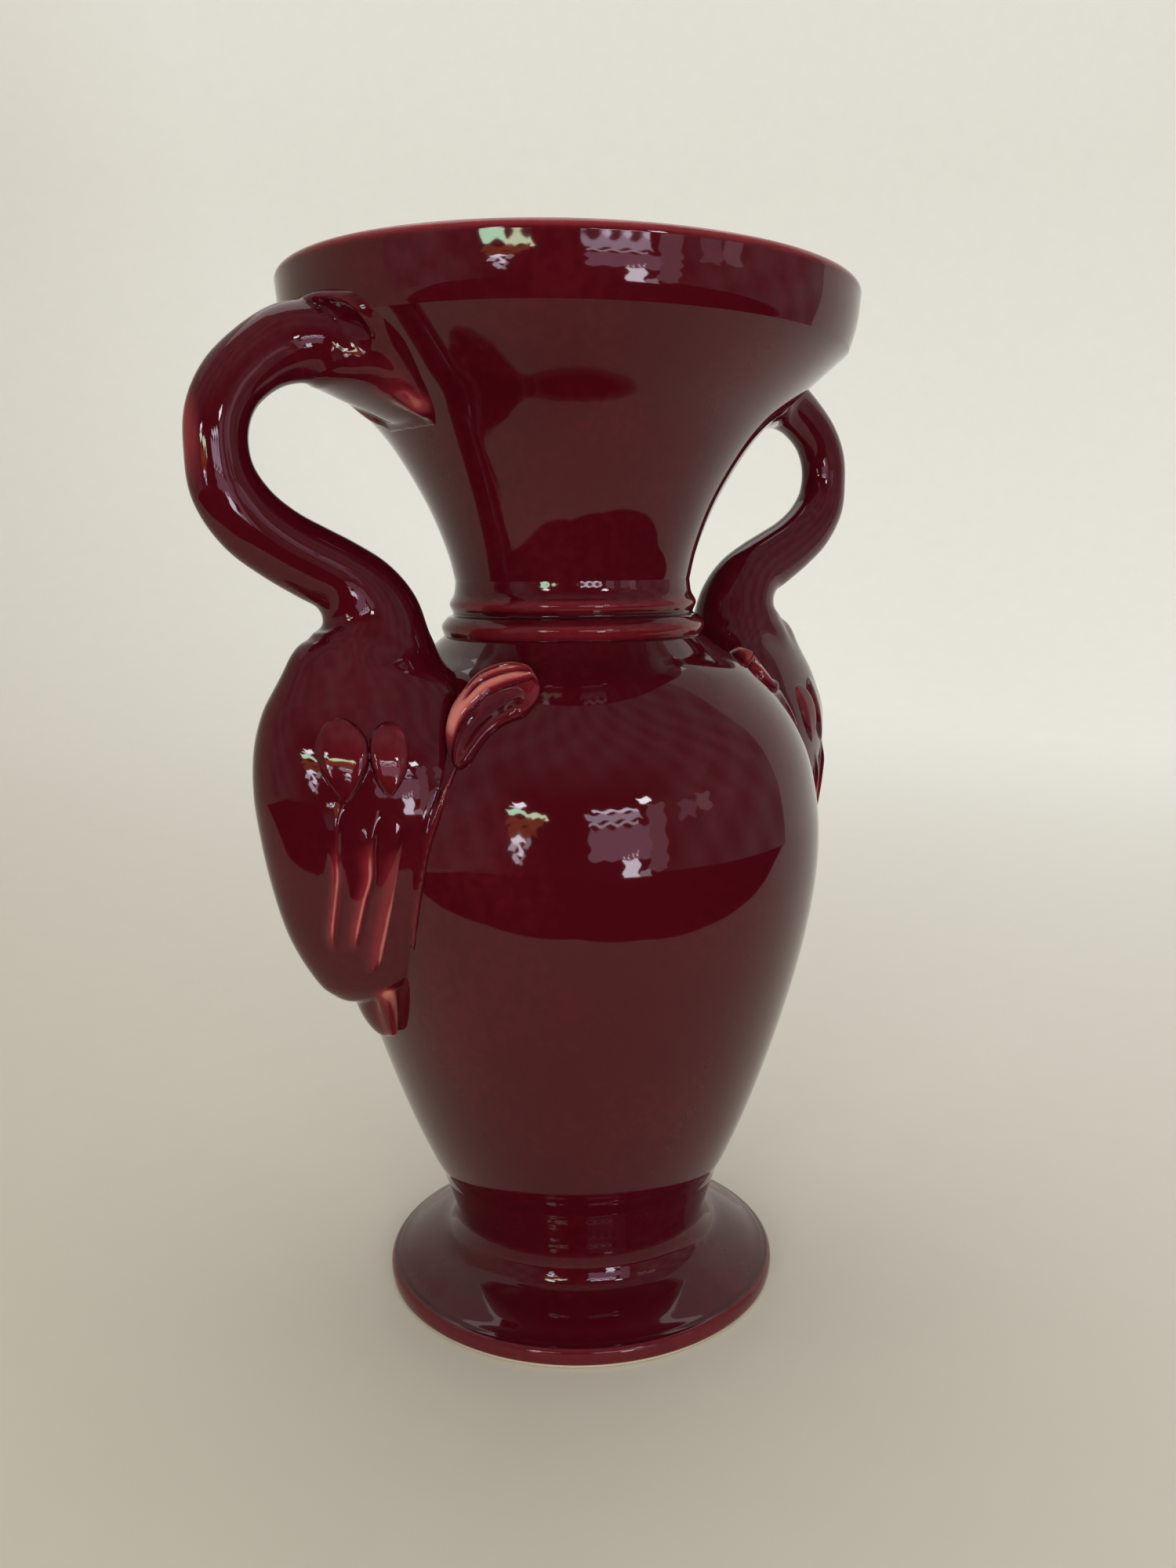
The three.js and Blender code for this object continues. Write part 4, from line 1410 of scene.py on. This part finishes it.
class VASE_OT_studio(bpy.types.Operator):
    """Set the vase on pale paper in front of the camera, with soft light and two windows"""

    bl_idname = "vase.studio"
    bl_label = "Studio"

    def execute(self, context):
        scene = context.scene

        # Round paper sweep: a floor that curves up into a wall all round
        floor, cove, top = 0.9, 0.7, 1.5
        turn = np.linspace(0, math.pi / 2, 17)
        bend = [(floor + cove * math.sin(a), cove - cove * math.cos(a)) for a in turn]
        mesh = spun("paper_sweep", [(0, 0), *bend, (floor + cove, top)], 96)
        for polygon in mesh.polygons:
            polygon.use_smooth = True
        mesh.materials.append(paper())
        sweep = bpy.data.objects.new("paper_sweep", mesh)
        scene.collection.objects.link(sweep)

        # Dark card in front of the vase, from the left of the camera to its right and overhead
        dome = dome_patch(-67, 106, -12, 78, CARD_DISTANCE, (90, 45))
        card("dark_card", dome, (1, 0.94, 0.96), spread=True)

        # Dark cloth on the table in front of the paper
        near = (
            (-0.62, -0.12), (-0.30, -0.19), (-0.18, -0.23), (0, -0.247),
            (0.11, -0.215), (0.22, -0.152), (0.36, -0.06), (0.9, 0.25),
        )
        far = (
            (-0.62, -0.75), (-0.45, -0.75), (-0.2, -0.9), (0, -0.9),
            (0.25, -0.9), (0.5, -0.8), (0.8, -0.6), (0.95, -0.2),
        )
        spin = Matrix.Rotation(VIEW_AZIMUTH, 3, "Z")
        bm = bmesh.new()
        bmesh.ops.create_grid(bm, x_segments=len(near) - 1, y_segments=1, size=1)
        for vert in bm.verts:
            edge = near if vert.co.y > 0 else far
            vert.co = spin @ Vector((*edge[round((vert.co.x + 1) / 2 * (len(near) - 1))], 0.001))
        card("dark_cloth", bm, (0.02, 0.014, 0.013))

        # Two windows beside the camera
        for name, azimuth, elevation, wide, high, power in (
            ("window_left", -21, 7.5, 0.24, 0.28, 1.6),
            ("window_right", 16, 3, 0.36, 0.50, 3.2),
        ):
            place = toward(azimuth, elevation, LAMP_DISTANCE)
            lamp = area_light(name, place, (0, 0, AIM), wide, high, power, (1.0, 0.99, 0.98))
            lamp.visible_glossy = False
        for number, (left, right, low, high, light) in enumerate(PANES):
            pane = dome_patch(left, right, low, high, PANE_DISTANCE, (14, 14), wave=0.8)
            card("pane_" + str(number), pane, light)

        # Soft light from above and behind
        place = toward(180, 76, OVERHEAD_DISTANCE)
        area_light("overhead", place, (0, 0, 0.1), 1.7, 1.7, 11.5, (1.0, 0.99, 0.97))
        world = bpy.data.worlds.new("soft_surround")
        world.use_nodes = True
        world.node_tree.nodes["Background"].inputs["Color"].default_value = (1.0, 0.985, 0.96, 1)
        world.node_tree.nodes["Background"].inputs["Strength"].default_value = 0.62
        scene.world = world

        data = bpy.data.cameras.new("photo_camera")
        data.lens = SENSOR * FOCAL_PIXELS / PHOTO_PIXELS
        data.sensor_width = SENSOR
        data.clip_start, data.clip_end = 0.01, 20
        camera = bpy.data.objects.new("photo_camera", data)
        right, up, forward = camera_axes()
        turn = Matrix((right, up, -forward)).transposed()
        spin = Matrix.Rotation(VIEW_AZIMUTH, 3, "Z")
        place = spin @ Vector((0, -CAMERA_DISTANCE, CAMERA_HEIGHT))
        camera.matrix_world = Matrix.Translation(place) @ (spin @ turn).to_4x4()
        scene.collection.objects.link(camera)
        scene.camera = camera
        scene.view_settings.view_transform = "Standard"
        return {"FINISHED"}


class VASE_PT_panel(bpy.types.Panel):
    """Sidebar panel that lists the vase's pieces and sizes"""

    bl_label = "Vase"
    bl_idname = "VASE_PT_panel"
    bl_space_type = "VIEW_3D"
    bl_region_type = "UI"
    bl_category = "Vase"

    def draw(self, context):
        layout = self.layout
        for operator in STEPS:
            layout.operator(operator.bl_idname)
        for group in (context.scene.vase_thrown, context.scene.vase_swans, context.scene.vase_colours):
            for key in group.__annotations__:
                layout.prop(group, key)


STEPS = (
    VASE_OT_foot,
    VASE_OT_body,
    VASE_OT_collar,
    VASE_OT_neck,
    VASE_OT_rim_band,
    VASE_OT_swans,
    VASE_OT_wings,
    VASE_OT_plumes,
    VASE_OT_studio,
)
GROUPS = (ThrownSizes, SwanSizes, GlazeColours)


def register():
    for item in GROUPS + STEPS + (VASE_PT_panel,):
        bpy.utils.register_class(item)
    bpy.types.Scene.vase_thrown = PointerProperty(type=ThrownSizes)
    bpy.types.Scene.vase_swans = PointerProperty(type=SwanSizes)
    bpy.types.Scene.vase_colours = PointerProperty(type=GlazeColours)


def unregister():
    del bpy.types.Scene.vase_thrown
    del bpy.types.Scene.vase_swans
    del bpy.types.Scene.vase_colours
    for item in reversed(GROUPS + STEPS + (VASE_PT_panel,)):
        bpy.utils.unregister_class(item)


def main():
    register()
    for operator in STEPS:
        group, name = operator.bl_idname.split(".")
        getattr(getattr(bpy.ops, group), name)()


if __name__ == "__main__":
    main()
